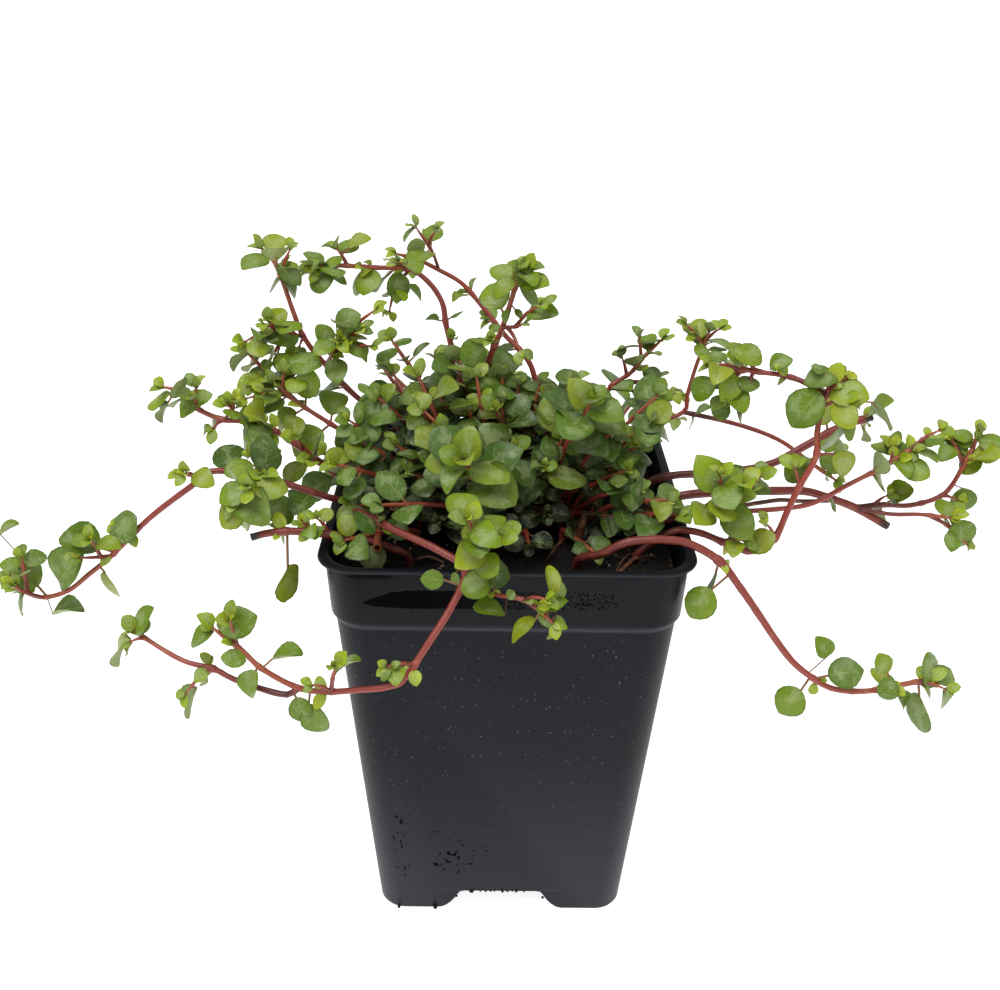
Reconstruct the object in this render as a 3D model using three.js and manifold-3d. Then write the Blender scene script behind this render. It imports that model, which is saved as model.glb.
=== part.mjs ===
// Potted blue angel pilea: a square nursery pot filled with soil, and a small creeping plant whose
// red stems stand in holes in the soil and spread over the rim. Each leafy stem is one fused solid.
// Millimetres, +Z up. The origin is the middle of the pot's footprint, on the surface it stands on.
// The front of the plant faces -Y.

import * as THREE from "three";
import { mergeVertices } from "three/addons/utils/BufferGeometryUtils.js";
import Module from "manifold-3d";

const wasm = await Module();
wasm.setup();

// Pot
const POT_HEIGHT = 130;
const LIP_HALF = 51;
const LIP_THICK = 1.4;
const LIP_CORNER = 11.5;
const MOUTH_HALF = 48;
const COLLAR_TOP_HALF = 49.2;
const COLLAR_FOOT_HALF = 48.3;
const COLLAR_HEIGHT = 18.6;
const LEDGE_DROP = 1.2;
const BODY_TOP_HALF = 47.1;
const BODY_FOOT_HALF = 38.1;
const BODY_TOP_CORNER = 9.2;
const BODY_FOOT_CORNER = 7.3;
const WALL = 1.2;
const EDGE_ROUND = 1;
const CORNER_STEPS = 3;
const FLOOR_UNDERSIDE = 8.4;
const FLOOR_THICK = 1.4;
const FOOT_WIDTH = 2.4;
const NOTCH_TOP_HALF = 12;
const NOTCH_FOOT_HALF = 19;
const NOTCH_HEIGHT = 8;
const DRAIN_RADIUS = 3.5;
const DRAIN_OFFSET = 21;

// Soil
const SOIL_TOP = 122;
const SOIL_BED = 4;
const SOIL_RELIEF = 0.8;
const SOIL_GRID = 4;
const CLEARANCE = 0.35;
const ROOT_DEPTH = 9;
const HOLE_SIDES = 5;
const HOLE_ROOM = 0.9;

// Stems and leaves
const SPAN_STEPS = 6;
const LONG_SPAN = 13;
const STEM_SIDES = 4;
const TWIG_SIDES = 3;
const BLADE_THICK = 1.6;
const STEM_THICK = 1.3;
const BLADE_WIDTH = 0.9;
const STALK_HALF = 0.5;
const LONG_STALK = 4;
const SHOULDER = 0.36;
const CHEEK = 0.74;
const CHEEK_SHARE = 0.88;
const DROOP = 0.12;
const LEAN = 68;
const LIGHT_LEAN = 0.62;
const LIGHT_RISE = 0.78;
const LIGHT_MIDDLE = 40;
const LIGHT_SPAN = 60;
const LIGHT_BACK = -0.6;
const UPWARDS = new THREE.Vector3(0, -0.3, 0.95).normalize();
const LEAF_SEED = 7;

// Room that leaves and stems leave each other: a share of both blades, and a fixed part
const ROOM_SHARE = 0.16;
const ROOM_FIXED = 0.7;
const OWN_SHARE = 0.11;
const TRY_TURNS = [0, 25, -25, 50, -50, 80, -80, 120];
const TRY_SHRINK = [1, 1, 1, 0.9, 0.9, 0.8, 0.8, 0.75];
const STEM_ROOM = 1.6;
const STEM_GAP = 3.2;
const POT_ROOM = 1.2;

// How far a leaf strays from its rule, and how the pairs crowd at a tip
const SIZE_SPREAD = 0.12;
const TURN_SPREAD = 14;
const LEAN_SPREAD = 9;
const ROLL_SPREAD = 18;
const TIP_GAP = 2.1;
const TIP_RISE = 42;
const TIP_SHRINK = 0.45;
const TIP_TURN = 90;

// Clump of stems grown by rule: how many, the middle and reach of their tips, and their height
const CLUMP_BUSHES = 12;
const FAN_REACH = 13;
const CLUMP_BARE = 0.62;
const CLUMP_MIDDLE = [-11, 5];
const CLUMP_REACH = [52, 46];
const CLUMP_TOP = 164;
const CLUMP_FALL = 26;
const CLUMP_GIRTH = [1.2, 0.7];
const CLUMP_TIP = [9, 1];
const CLUMP_BLADE = 9.5;
const CLUMP_LEAF_GAP = 8;
const CLUMP_TRIES = 24;
const ROOT_PULL = 0.55;
const ROOT_LIMIT = 39;
const GOLDEN_TURN = 137.508;

// Stems whose course shows. A route is the middle line from the root or fork up, with the girth at
// both ends. A leaf entry is [place counted in route points, turn about the stem in degrees from
// upwards, blade length, stalk length], and grows a pair unless a fifth value says 1. A tip is
// [blade length, pairs crowded there]. A stem without one ends as cut.
const SPRAYS = [
  {
    name: "spray_top_left",
    root: [-8, 0],
    shoots: [
      {
        route: [[-11, 5, 133], [-25, 8, 142], [-43, 10, 153], [-54, 12, 164], [-60, 13, 172], [-63, 14, 180],
          [-67, 16, 192], [-71, 17, 197]],
        girth: [1.5, 0.8],
        leaves: [[1.6, 90, 9, 2], [2.4, 0, 9, 3], [4.1, 90, 9, 2], [6, -70, 10, 4]],
        tip: [8, 2],
      },
      {
        route: [[-60, 13, 172], [-65, 9, 175], [-70, 6, 178]],
        girth: [0.7, 0.6],
        leaves: [[1.2, 60, 7, 1]],
        tip: [7, 1],
      },
      {
        route: [[-54, 12, 164], [-51, 7, 169], [-49, 4, 174]],
        girth: [0.7, 0.6],
        leaves: [[1, 0, 8, 2]],
        tip: [7, 1],
      },
    ],
  },
  {
    name: "spray_left_crest",
    root: [-22, -4],
    shoots: [
      {
        route: [[-32, -3, 138], [-50, -2, 150], [-60, -2, 157], [-67, -2, 163]],
        girth: [1.3, 0.8],
        leaves: [[0.5, 0, 9, 3], [1.1, 80, 10, 3], [1.8, 10, 9, 3], [2.4, 80, 8, 2]],
        tip: [9, 2],
      },
      {
        route: [[-60, -2, 157], [-69, 3, 164], [-76, 6, 170]],
        girth: [0.8, 0.6],
        leaves: [[1, 70, 8, 2], [1.5, 0, 7, 1]],
        tip: [7, 1],
      },
    ],
  },
  {
    name: "spray_arch",
    root: [-6, 18],
    shoots: [
      {
        route: [[-9, 20, 134], [-15, 24, 152], [-17, 26, 164], [-19, 28, 172], [-20, 29, 178], [-24, 30, 184],
          [-30, 30, 188], [-41, 28, 189], [-50, 26, 190], [-58, 24, 190]],
        girth: [1.5, 0.8],
        leaves: [[1.2, 80, 8, 2], [3.1, 60, 5, 2], [6.4, 170, 10, 3], [6.9, 80, 8, 1], [7.2, 0, 8, 2],
          [8.2, 180, 9, 2, 1], [8.6, 60, 7, 1]],
        tip: [8, 2],
      },
      {
        route: [[-30, 30, 188], [-34, 28, 183], [-36, 27, 176]],
        girth: [0.7, 0.6],
        leaves: [[1, 90, 6, 1]],
        tip: [5, 1],
      },
    ],
  },
  {
    name: "spray_back_arch",
    root: [12, 30],
    shoots: [
      {
        route: [[12, 34, 134], [8, 40, 154], [-1, 46, 163], [-9, 50, 172], [-15, 52, 178], [-22, 52, 182],
          [-29, 50, 186], [-35, 48, 188]],
        girth: [1.4, 0.8],
        leaves: [[0.6, 60, 9, 2], [1.5, 100, 8, 2], [3.4, 80, 6, 2], [6, 180, 7, 1]],
        tip: [7, 1],
      },
      {
        route: [[-22, 52, 182], [-24, 51, 188], [-27, 50, 193], [-29, 50, 196]],
        girth: [0.7, 0.6],
        leaves: [[1.2, 90, 9, 3]],
        tip: [7, 1],
      },
    ],
  },
  {
    name: "spray_top_middle",
    root: [-10, 10],
    shoots: [
      {
        route: [[-12, 10, 136], [-11, 10, 153], [-7, 8, 163], [-5, 7, 170], [-2, 6, 178], [1, 4, 189], [2, 3, 195]],
        girth: [1.5, 0.9],
        leaves: [[1.2, 90, 10, 2], [2.1, 0, 10, 2], [3.3, 100, 11, 5], [4.3, 90, 11, 3], [5.2, 90, 10, 2],
          [5.2, 0, 9, 2]],
        tip: [9, 2],
      },
      {
        route: [[-2, 6, 178], [2, 1, 180], [4, -2, 182]],
        girth: [0.7, 0.6],
        leaves: [],
        tip: [6, 1],
      },
    ],
  },
  {
    name: "spray_left",
    root: [-30, -2],
    shoots: [
      {
        route: [[-33, -6, 131], [-46, -10, 137], [-52, -12, 142], [-58, -12, 147], [-66, -12, 153], [-73, -11, 155],
          [-80, -10, 155], [-87, -8, 157], [-94, -6, 162], [-97, -6, 163]],
        girth: [1.4, 0.8],
        leaves: [[1.4, 0, 9, 2], [2.4, 170, 9, 3], [3.3, 80, 9, 2], [4.2, 10, 10, 2], [4.6, 170, 8, 2],
          [6.2, 180, 8, 1, 1], [7.6, 170, 8, 2], [8, 20, 9, 2]],
        tip: [7, 1],
      },
      {
        route: [[-80, -10, 155], [-77, -12, 159], [-76, -13, 162]],
        girth: [0.7, 0.6],
        leaves: [],
        tip: [6, 1],
      },
    ],
  },
  {
    name: "spray_far_left",
    root: [-36, -12],
    shoots: [
      {
        route: [[-41, -16, 132], [-50, -22, 137], [-66, -25, 144], [-80, -27, 147], [-86, -28, 143], [-98, -30, 134],
          [-110, -30, 122], [-117, -30, 116], [-124, -29, 110], [-132, -28, 107], [-138, -26, 108],
          [-142, -25, 112]],
        girth: [1.4, 0.8],
        leaves: [[1.3, 90, 9, 2], [2, 10, 11, 2], [2.5, 90, 11, 3], [5.9, 10, 10, 4], [8.8, 20, 10, 4],
          [10.1, 170, 7, 1, 1]],
        tip: [6, 1],
      },
      {
        route: [[-66, -25, 144], [-70, -31, 143], [-73, -35, 142]],
        girth: [0.8, 0.6],
        leaves: [[1, 0, 10, 2]],
        tip: [10, 2],
      },
      {
        route: [[-80, -27, 147], [-85, -30, 147], [-88, -31, 148]],
        girth: [0.7, 0.6],
        leaves: [],
        tip: [6, 1],
      },
      {
        route: [[-110, -30, 122], [-114, -33, 123], [-117, -35, 124]],
        girth: [0.7, 0.6],
        leaves: [],
        tip: [7, 1],
      },
      {
        route: [[-132, -28, 107], [-135, -32, 111], [-137, -34, 114]],
        girth: [0.7, 0.6],
        leaves: [],
        tip: [7, 1],
      },
    ],
  },
  {
    name: "spray_over_rim",
    root: [-40, -18],
    shoots: [
      {
        route: [[-43, -25, 134], [-38, -35, 138], [-30, -43, 138], [-18, -52, 137], [-11, -57, 134], [-14, -62, 127],
          [-20, -68, 119], [-26, -72, 111], [-31, -73, 109], [-37, -74, 109], [-44, -75, 109], [-52, -75, 110],
          [-61, -74, 115], [-66, -72, 119], [-73, -70, 124]],
        girth: [1.6, 0.8],
        leaves: [[1.5, 60, 8, 2], [4, 90, 9, 3], [7.2, 0, 5, 1, 1], [10, 20, 7, 3, 1], [11, 170, 10, 2, 1],
          [12.1, 10, 8, 3]],
        tip: [9, 2],
      },
      {
        route: [[-11, -57, 134], [-8, -58, 140], [-6, -60, 144]],
        girth: [1, 0.7],
        leaves: [[0.8, 80, 9, 2]],
        tip: [9, 2],
      },
      {
        route: [[-11, -57, 134], [-6, -60, 130], [-1, -63, 130], [3, -64, 130], [7, -66, 129]],
        girth: [0.9, 0.6],
        leaves: [[1.1, 170, 6, 2], [2.6, 100, 7, 2]],
        tip: [8, 2],
      },
      {
        route: [[-44, -75, 109], [-46, -77, 112], [-48, -78, 113]],
        girth: [0.7, 0.6],
        leaves: [],
        tip: [5, 1],
      },
      {
        route: [[-52, -75, 110], [-56, -75, 108], [-68, -72, 110], [-74, -70, 112], [-82, -68, 113], [-91, -64, 116],
          [-95, -62, 118]],
        girth: [1.1, 0.7],
        leaves: [[3, 175, 7, 4]],
        tip: [9, 2],
      },
    ],
  },
  {
    name: "spray_over_corner",
    root: [19, -36],
    shoots: [
      {
        route: [[20, -39, 128], [25, -42, 131], [31, -43, 135], [37, -43, 136], [42, -43, 136], [48, -43, 135],
          [56, -45, 131], [62, -47, 124], [68, -49, 116], [73, -50, 109], [78, -51, 103], [84, -51, 98], [89, -51, 95],
          [95, -51, 94], [102, -49, 93], [111, -46, 93], [118, -45, 94]],
        girth: [1.7, 0.9],
        leaves: [[6, 175, 10, 6, 1], [6, 5, 8, 4, 1], [11, 170, 10, 4], [13, 20, 10, 2, 1], [14.3, 10, 9, 1],
          [14.3, 90, 8, 1], [15.8, 170, 10, 3]],
        tip: [9, 2],
      },
    ],
  },
  {
    name: "spray_riser",
    root: [36, -30],
    shoots: [
      {
        route: [[40, -30, 128], [46, -30, 132], [53, -31, 132], [61, -32, 129], [68, -32, 127], [74, -30, 130],
          [77, -28, 137], [80, -26, 144], [84, -24, 152], [84, -22, 159], [85, -20, 167], [87, -18, 171]],
        girth: [1.4, 1],
        leaves: [[3.7, 0, 8, 1], [5, 10, 7, 3, 1], [8.2, 90, 11, 3], [10.2, 80, 11, 3], [10.5, 0, 10, 3]],
        tip: [10, 2],
      },
      {
        route: [[85, -20, 169], [80, -16, 171], [75, -14, 172], [70, -12, 172], [65, -10, 172], [61, -8, 170]],
        girth: [1.1, 0.8],
        leaves: [[1.6, 10, 7, 2, 1], [3.2, 0, 10, 2, 1], [4, 170, 8, 2]],
        tip: [9, 2],
      },
    ],
  },
  {
    name: "stem_cut_right",
    root: [38, 0],
    shoots: [
      {
        route: [[42, 0, 132], [50, 0, 135], [64, 0, 136], [78, 0, 139], [88, 2, 144], [99, 4, 150], [108, 6, 152]],
        girth: [1.6, 1.5],
        leaves: [[4.6, 170, 9, 3], [5.6, 10, 8, 4]],
      },
    ],
  },
  {
    name: "spray_right_crest",
    root: [30, 14],
    shoots: [
      {
        route: [[33, 16, 132], [42, 17, 142], [54, 18, 148], [55, 19, 153], [57, 20, 162], [60, 20, 173]],
        girth: [1.3, 0.7],
        leaves: [[1.1, 0, 9, 2], [4.5, 90, 6, 2]],
        tip: [8, 2],
      },
      {
        route: [[54, 18, 148], [59, 18, 147], [68, 18, 145], [77, 16, 143], [85, 14, 140], [94, 12, 134], [101, 9, 130]],
        girth: [1, 0.8],
        leaves: [[0.7, 10, 5, 1], [5.4, 80, 6, 2]],
        tip: [7, 1],
      },
    ],
  },
  {
    name: "spray_far_right",
    root: [37, -14],
    shoots: [
      {
        route: [[41, -14, 131], [50, -14, 135], [64, -13, 136], [77, -12, 136], [86, -12, 136], [93, -12, 134],
          [101, -12, 131], [111, -14, 126]],
        girth: [1.9, 1.5],
        leaves: [[1.8, 10, 8, 2]],
      },
      {
        route: [[101, -12, 131], [110, -10, 131], [119, -8, 130], [129, -6, 133], [134, -4, 142], [137, -2, 148]],
        girth: [1.1, 0.8],
        leaves: [[1, 10, 8, 3], [2.3, 80, 6, 2], [4.1, 80, 8, 3]],
        tip: [8, 2],
      },
      {
        route: [[101, -12, 131], [110, -16, 131], [118, -18, 132], [126, -20, 132]],
        girth: [0.9, 0.7],
        leaves: [[2.4, 10, 7, 1], [2.8, 80, 8, 1]],
        tip: [8, 2],
      },
    ],
  },
  {
    name: "spray_right_low",
    root: [34, -21],
    shoots: [
      {
        route: [[38, -22, 128], [45, -22, 131], [52, -22, 133], [62, -22, 134], [75, -22, 135], [86, -20, 136],
          [96, -18, 141], [106, -16, 146], [112, -15, 150], [116, -14, 152]],
        girth: [1.1, 0.8],
        leaves: [[5.4, 170, 6, 2], [6.6, 10, 8, 2], [7.4, 80, 9, 2], [8, 0, 9, 2]],
        tip: [8, 2],
      },
      {
        route: [[52, -22, 133], [56, -27, 139], [60, -31, 144]],
        girth: [1, 0.7],
        leaves: [[0.9, 80, 10, 3], [1.4, 0, 11, 3]],
        tip: [11, 2],
      },
    ],
  },
  {
    name: "spray_right_back",
    root: [22, 20],
    shoots: [
      {
        route: [[25, 22, 134], [31, 24, 152], [38, 25, 158], [42, 26, 163], [47, 27, 168]],
        girth: [1.2, 0.7],
        leaves: [[1.2, 80, 9, 2], [2.2, 10, 7, 2], [3.2, 80, 6, 1]],
        tip: [7, 1],
      },
    ],
  },
  {
    name: "stem_cut_left",
    root: [-27, -33],
    shoots: [
      {
        route: [[-30, -34, 127], [-41, -35, 131], [-56, -37, 134], [-64, -38, 134], [-69, -39, 133]],
        girth: [1.6, 1.3],
        leaves: [[1.9, 175, 9, 6, 1], [2.4, 0, 5, 1]],
      },
    ],
  },
  {
    name: "spray_back_left",
    root: [-30, 30],
    shoots: [
      {
        route: [[-32, 36, 131], [-36, 45, 135], [-40, 54, 136], [-44, 63, 131], [-46, 70, 122], [-47, 74, 112]],
        girth: [1.4, 0.8],
        leaves: [[0.6, 20, 9, 2], [1.8, 90, 9, 2], [3, 0, 9, 3], [4, 90, 8, 2]],
        tip: [8, 2],
      },
    ],
  },
  {
    name: "spray_back_middle",
    root: [-4, 37],
    shoots: [
      {
        route: [[-3, 41, 131], [-2, 48, 136], [0, 56, 137], [1, 64, 134], [3, 71, 128], [6, 75, 120]],
        girth: [1.4, 0.8],
        leaves: [[0.8, 0, 9, 2], [2, 90, 9, 2], [3.1, 10, 9, 3], [4.1, 80, 8, 2]],
        tip: [8, 2],
      },
    ],
  },
  {
    name: "spray_back_right",
    root: [30, 33],
    shoots: [
      {
        route: [[33, 37, 131], [38, 45, 135], [43, 54, 137], [48, 61, 135], [54, 67, 130], [61, 71, 124]],
        girth: [1.4, 0.8],
        leaves: [[0.7, 10, 9, 2], [1.8, 90, 9, 2], [3, 0, 9, 3], [4, 80, 8, 2]],
        tip: [8, 2],
      },
    ],
  },
];

// Random numbers that are the same on every run
function dice(seed) {
  let state = seed;
  return (spread) => {
    state = (state * 48271) % 2147483647;
    return (state / 1073741823.5 - 1) * spread;
  };
}

function radians(degrees) {
  return (degrees * Math.PI) / 180;
}

// The part of v that is square to the unit vector line
function squareTo(v, line) {
  return v.clone().addScaledVector(line, -v.dot(line));
}

// A closed geometry as a solid
function solid(geometry) {
  const bare = geometry.index ? geometry.toNonIndexed() : geometry.clone();
  bare.deleteAttribute("normal");
  bare.deleteAttribute("uv");
  const merged = mergeVertices(bare, 1e-4);
  const corners = merged.index.array;
  const triangles = [];
  for (let i = 0; i < corners.length; i += 3) {
    const [a, b, c] = corners.slice(i, i + 3);
    if (a !== b && b !== c && c !== a) triangles.push(a, b, c);
  }
  return new wasm.Manifold(
    new wasm.Mesh({
      numProp: 3,
      vertProperties: new Float32Array(merged.attributes.position.array),
      triVerts: new Uint32Array(triangles),
    }),
  );
}

function geometryOf(body) {
  const mesh = body.getMesh();
  const geometry = new THREE.BufferGeometry();
  geometry.setAttribute("position", new THREE.BufferAttribute(mesh.vertProperties, 3));
  geometry.setIndex(new THREE.BufferAttribute(mesh.triVerts, 1));
  geometry.computeVertexNormals();
  return geometry;
}

// The largest body of a joined solid: sealed hollows come out filled and loose scraps drop
function wholeBody(joined) {
  return joined.decompose().reduce((a, b) => (b.volume() > a.volume() ? b : a));
}

function movePoints(geometry, move) {
  const position = geometry.attributes.position;
  const point = new THREE.Vector3();
  for (let i = 0; i < position.count; i += 1) {
    point.fromBufferAttribute(position, i);
    move(point);
    position.setXYZ(i, point.x, point.y, point.z);
  }
  return geometry;
}

// A square outline of half width 1 whose corners are quarter circles of radius CORNER_UNIT
const CORNER_UNIT = 0.25;
function roundedSquare() {
  const inner = 1 - CORNER_UNIT;
  const shape = new THREE.Shape();
  const points = [];
  for (let corner = 0; corner < 4; corner += 1) {
    const turn = (corner * Math.PI) / 2;
    const middle = new THREE.Vector2(inner, inner).rotateAround(new THREE.Vector2(), turn);
    for (let step = 0; step <= CORNER_STEPS; step += 1) {
      const angle = turn + (step / CORNER_STEPS) * (Math.PI / 2);
      points.push(new THREE.Vector2(Math.cos(angle), Math.sin(angle)).multiplyScalar(CORNER_UNIT).add(middle));
    }
  }
  shape.setFromPoints(points);
  return shape;
}

// A solid through rounded square rings, each [half width, corner radius, height]
function tub(rings) {
  const levels = rings.length - 1;
  const geometry = new THREE.ExtrudeGeometry(roundedSquare(), { depth: levels, steps: levels, bevelEnabled: false });
  const inner = 1 - CORNER_UNIT;
  movePoints(geometry, (p) => {
    const [half, corner, height] = rings[Math.round(p.z)];
    const place = (value) => {
      const bend = Math.max(0, (Math.abs(value) - inner) / CORNER_UNIT);
      return Math.sign(value) * (half - corner + corner * bend);
    };
    p.set(place(p.x), place(p.y), height);
  });
  return solid(geometry);
}

function bodyHalf(height) {
  const share = height / (POT_HEIGHT - COLLAR_HEIGHT);
  return BODY_FOOT_HALF + (BODY_TOP_HALF - BODY_FOOT_HALF) * share;
}

function bodyCorner(height) {
  const share = height / (POT_HEIGHT - COLLAR_HEIGHT);
  return BODY_FOOT_CORNER + (BODY_TOP_CORNER - BODY_FOOT_CORNER) * share;
}

// The arch cut through the feet in the middle of each side
function notch(turn) {
  const shape = new THREE.Shape();
  shape.moveTo(-NOTCH_FOOT_HALF, -1);
  shape.lineTo(NOTCH_FOOT_HALF, -1);
  shape.lineTo(NOTCH_FOOT_HALF, 0);
  shape.quadraticCurveTo(NOTCH_TOP_HALF + 3, NOTCH_HEIGHT * 0.2, NOTCH_TOP_HALF + 1.5, NOTCH_HEIGHT * 0.7);
  shape.lineTo(NOTCH_TOP_HALF, NOTCH_HEIGHT);
  shape.lineTo(-NOTCH_TOP_HALF, NOTCH_HEIGHT);
  shape.lineTo(-NOTCH_TOP_HALF - 1.5, NOTCH_HEIGHT * 0.7);
  shape.quadraticCurveTo(-NOTCH_TOP_HALF - 3, NOTCH_HEIGHT * 0.2, -NOTCH_FOOT_HALF, 0);
  const length = LIP_HALF * 2;
  const geometry = new THREE.ExtrudeGeometry(shape, { depth: length, bevelEnabled: false, curveSegments: 3 });
  geometry.translate(0, 0, -length / 2);
  geometry.rotateX(Math.PI / 2);
  geometry.rotateZ(turn);
  return solid(geometry);
}

function makePot() {
  const collarFoot = POT_HEIGHT - COLLAR_HEIGHT;
  const lipFoot = POT_HEIGHT - LIP_THICK;
  const collarCorner = BODY_TOP_CORNER + COLLAR_FOOT_HALF - BODY_TOP_HALF;
  const floorTop = FLOOR_UNDERSIDE + FLOOR_THICK;
  const outside = tub([
    [BODY_FOOT_HALF - EDGE_ROUND, BODY_FOOT_CORNER - EDGE_ROUND, 0],
    [BODY_FOOT_HALF, BODY_FOOT_CORNER, EDGE_ROUND],
    [BODY_TOP_HALF, BODY_TOP_CORNER, collarFoot - LEDGE_DROP],
    [COLLAR_FOOT_HALF - 0.3, collarCorner, collarFoot - 0.2],
    [COLLAR_FOOT_HALF, collarCorner, collarFoot + 0.6],
    [COLLAR_TOP_HALF, collarCorner + 0.9, lipFoot],
    [LIP_HALF - 0.2, LIP_CORNER, lipFoot + 0.1],
    [LIP_HALF, LIP_CORNER, lipFoot + 0.5],
    [LIP_HALF, LIP_CORNER, POT_HEIGHT - 0.4],
    [LIP_HALF - 0.4, LIP_CORNER, POT_HEIGHT],
  ]);
  const inside = tub([
    [bodyHalf(floorTop) - WALL, bodyCorner(floorTop) - WALL, floorTop],
    [BODY_TOP_HALF - WALL, BODY_TOP_CORNER - WALL, collarFoot - LEDGE_DROP],
    [COLLAR_FOOT_HALF - WALL, collarCorner - WALL, collarFoot],
    [MOUTH_HALF, collarCorner + 0.9 - WALL, POT_HEIGHT + 1],
  ]);
  const recess = tub([
    [BODY_FOOT_HALF - EDGE_ROUND - FOOT_WIDTH, BODY_FOOT_CORNER - FOOT_WIDTH, -1],
    [bodyHalf(FLOOR_UNDERSIDE) - FOOT_WIDTH, BODY_FOOT_CORNER - FOOT_WIDTH, FLOOR_UNDERSIDE],
  ]);
  let pot = outside.subtract(inside).subtract(recess).subtract(notch(0)).subtract(notch(Math.PI / 2));
  const drain = new THREE.CylinderGeometry(DRAIN_RADIUS, DRAIN_RADIUS, FLOOR_THICK * 4, 8);
  drain.rotateX(Math.PI / 2);
  for (const [x, y] of [[1, 1], [-1, 1], [-1, -1], [1, -1], [0, 0]]) {
    const hole = drain.clone().translate(x * DRAIN_OFFSET, y * DRAIN_OFFSET, FLOOR_UNDERSIDE + FLOOR_THICK / 2);
    pot = pot.subtract(solid(hole));
  }
  return pot;
}

// Height of the soil's bumps at a place
function soilBump(x, y) {
  return SOIL_RELIEF * (Math.sin(x * 0.31 + y * 0.12) + Math.sin(y * 0.37 - x * 0.17 + 1.3)) * 0.5;
}

function makeSoil(holes) {
  const collarFoot = POT_HEIGHT - COLLAR_HEIGHT;
  const collarCorner = BODY_TOP_CORNER + COLLAR_FOOT_HALF - BODY_TOP_HALF;
  const floorTop = FLOOR_UNDERSIDE + FLOOR_THICK + CLEARANCE;
  const gap = WALL + CLEARANCE;
  const topHalf = COLLAR_FOOT_HALF - gap;
  const bedFoot = SOIL_TOP - SOIL_BED;
  let soil = tub([
    [bodyHalf(floorTop) - gap - 0.1, bodyCorner(floorTop) - gap, floorTop],
    [BODY_TOP_HALF - gap, BODY_TOP_CORNER - gap, collarFoot - LEDGE_DROP - 0.4],
    [topHalf, collarCorner - gap, collarFoot + 0.2],
    [topHalf, collarCorner - gap, bedFoot + 1],
  ]);
  const bed = new THREE.BoxGeometry(topHalf * 2, topHalf * 2, SOIL_BED, SOIL_GRID, SOIL_GRID, 1);
  const corner = collarCorner - gap;
  const inner = topHalf - corner;
  movePoints(bed, (p) => {
    const over = new THREE.Vector2(Math.max(0, Math.abs(p.x) - inner), Math.max(0, Math.abs(p.y) - inner));
    if (over.length() > corner) {
      over.setLength(corner);
      p.x = Math.sign(p.x) * (inner + over.x);
      p.y = Math.sign(p.y) * (inner + over.y);
    }
    p.z = p.z > 0 ? SOIL_TOP + soilBump(p.x, p.y) : bedFoot;
  });
  soil = soil.add(solid(bed));
  const depth = ROOT_DEPTH + CLEARANCE + 4;
  for (const { at, girth } of holes) {
    const radius = girth + HOLE_ROOM;
    const hole = new THREE.CylinderGeometry(radius, radius, depth, HOLE_SIDES);
    hole.rotateX(Math.PI / 2);
    hole.translate(at[0], at[1], SOIL_TOP - ROOT_DEPTH - CLEARANCE + depth / 2);
    soil = soil.subtract(solid(hole));
  }
  return soil;
}

// A stem's middle line as a dense smooth polyline, read by place or by distance
class Route {
  constructor(points, lead) {
    this.lead = lead;
    const curve = new THREE.CatmullRomCurve3(points.map((p) => new THREE.Vector3(...p)), false, "catmullrom", 0.5);
    this.points = curve.getPoints((points.length - 1) * SPAN_STEPS);
    this.lengths = [0];
    for (let i = 1; i < this.points.length; i += 1) {
      this.lengths.push(this.lengths[i - 1] + this.points[i].distanceTo(this.points[i - 1]));
    }
  }

  get length() {
    return this.lengths[this.lengths.length - 1];
  }

  // Distance along the route of a place counted in listed points
  distanceOf(place) {
    const step = Math.min((place + this.lead) * SPAN_STEPS, this.points.length - 1);
    const low = Math.min(Math.floor(step), this.points.length - 2);
    return this.lengths[low] + (step - low) * (this.lengths[low + 1] - this.lengths[low]);
  }

  at(distance) {
    let low = 0;
    while (low < this.points.length - 2 && this.lengths[low + 1] < distance) low += 1;
    const span = this.lengths[low + 1] - this.lengths[low];
    const share = Math.min(1, Math.max(0, (distance - this.lengths[low]) / span));
    const heading = this.points[low + 1].clone().sub(this.points[low]).normalize();
    return { point: this.points[low].clone().lerp(this.points[low + 1], share), heading };
  }
}

// A tapered stem: a cylinder bent along its route, with a ring at every point of its list and one
// between points that lie far apart
function stemSolid(route, [thick, thin], sides) {
  const stops = [];
  for (let i = 0; i < route.points.length; i += SPAN_STEPS) {
    stops.push(i);
    const next = i + SPAN_STEPS;
    if (next < route.points.length && route.lengths[next] - route.lengths[i] > LONG_SPAN) stops.push(i + SPAN_STEPS / 2);
  }
  const steps = stops.length - 1;
  const geometry = new THREE.CylinderGeometry(thin, thick, 1, sides, steps);
  let across = new THREE.Vector3(0.31, 0.95, 0.07);
  const rings = stops.map((i) => {
    const before = route.points[Math.max(0, i - 1)];
    const after = route.points[Math.min(route.points.length - 1, i + 1)];
    const heading = after.clone().sub(before).normalize();
    across = squareTo(across, heading).normalize();
    return { point: route.points[i], across, aside: new THREE.Vector3().crossVectors(heading, across) };
  });
  movePoints(geometry, (p) => {
    const ring = rings[Math.round((p.y + 0.5) * steps)];
    p.copy(ring.point.clone().addScaledVector(ring.across, -p.x).addScaledVector(ring.aside, p.z));
  });
  return solid(geometry);
}

// Where leaves turn their faces: up and forward at the front of the plant, up and back at its rear
function lightAt(place) {
  const front = Math.max(LIGHT_BACK, Math.min(1, (LIGHT_MIDDLE - place.y) / LIGHT_SPAN));
  return new THREE.Vector3(0, -LIGHT_LEAN * front, LIGHT_RISE);
}

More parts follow.
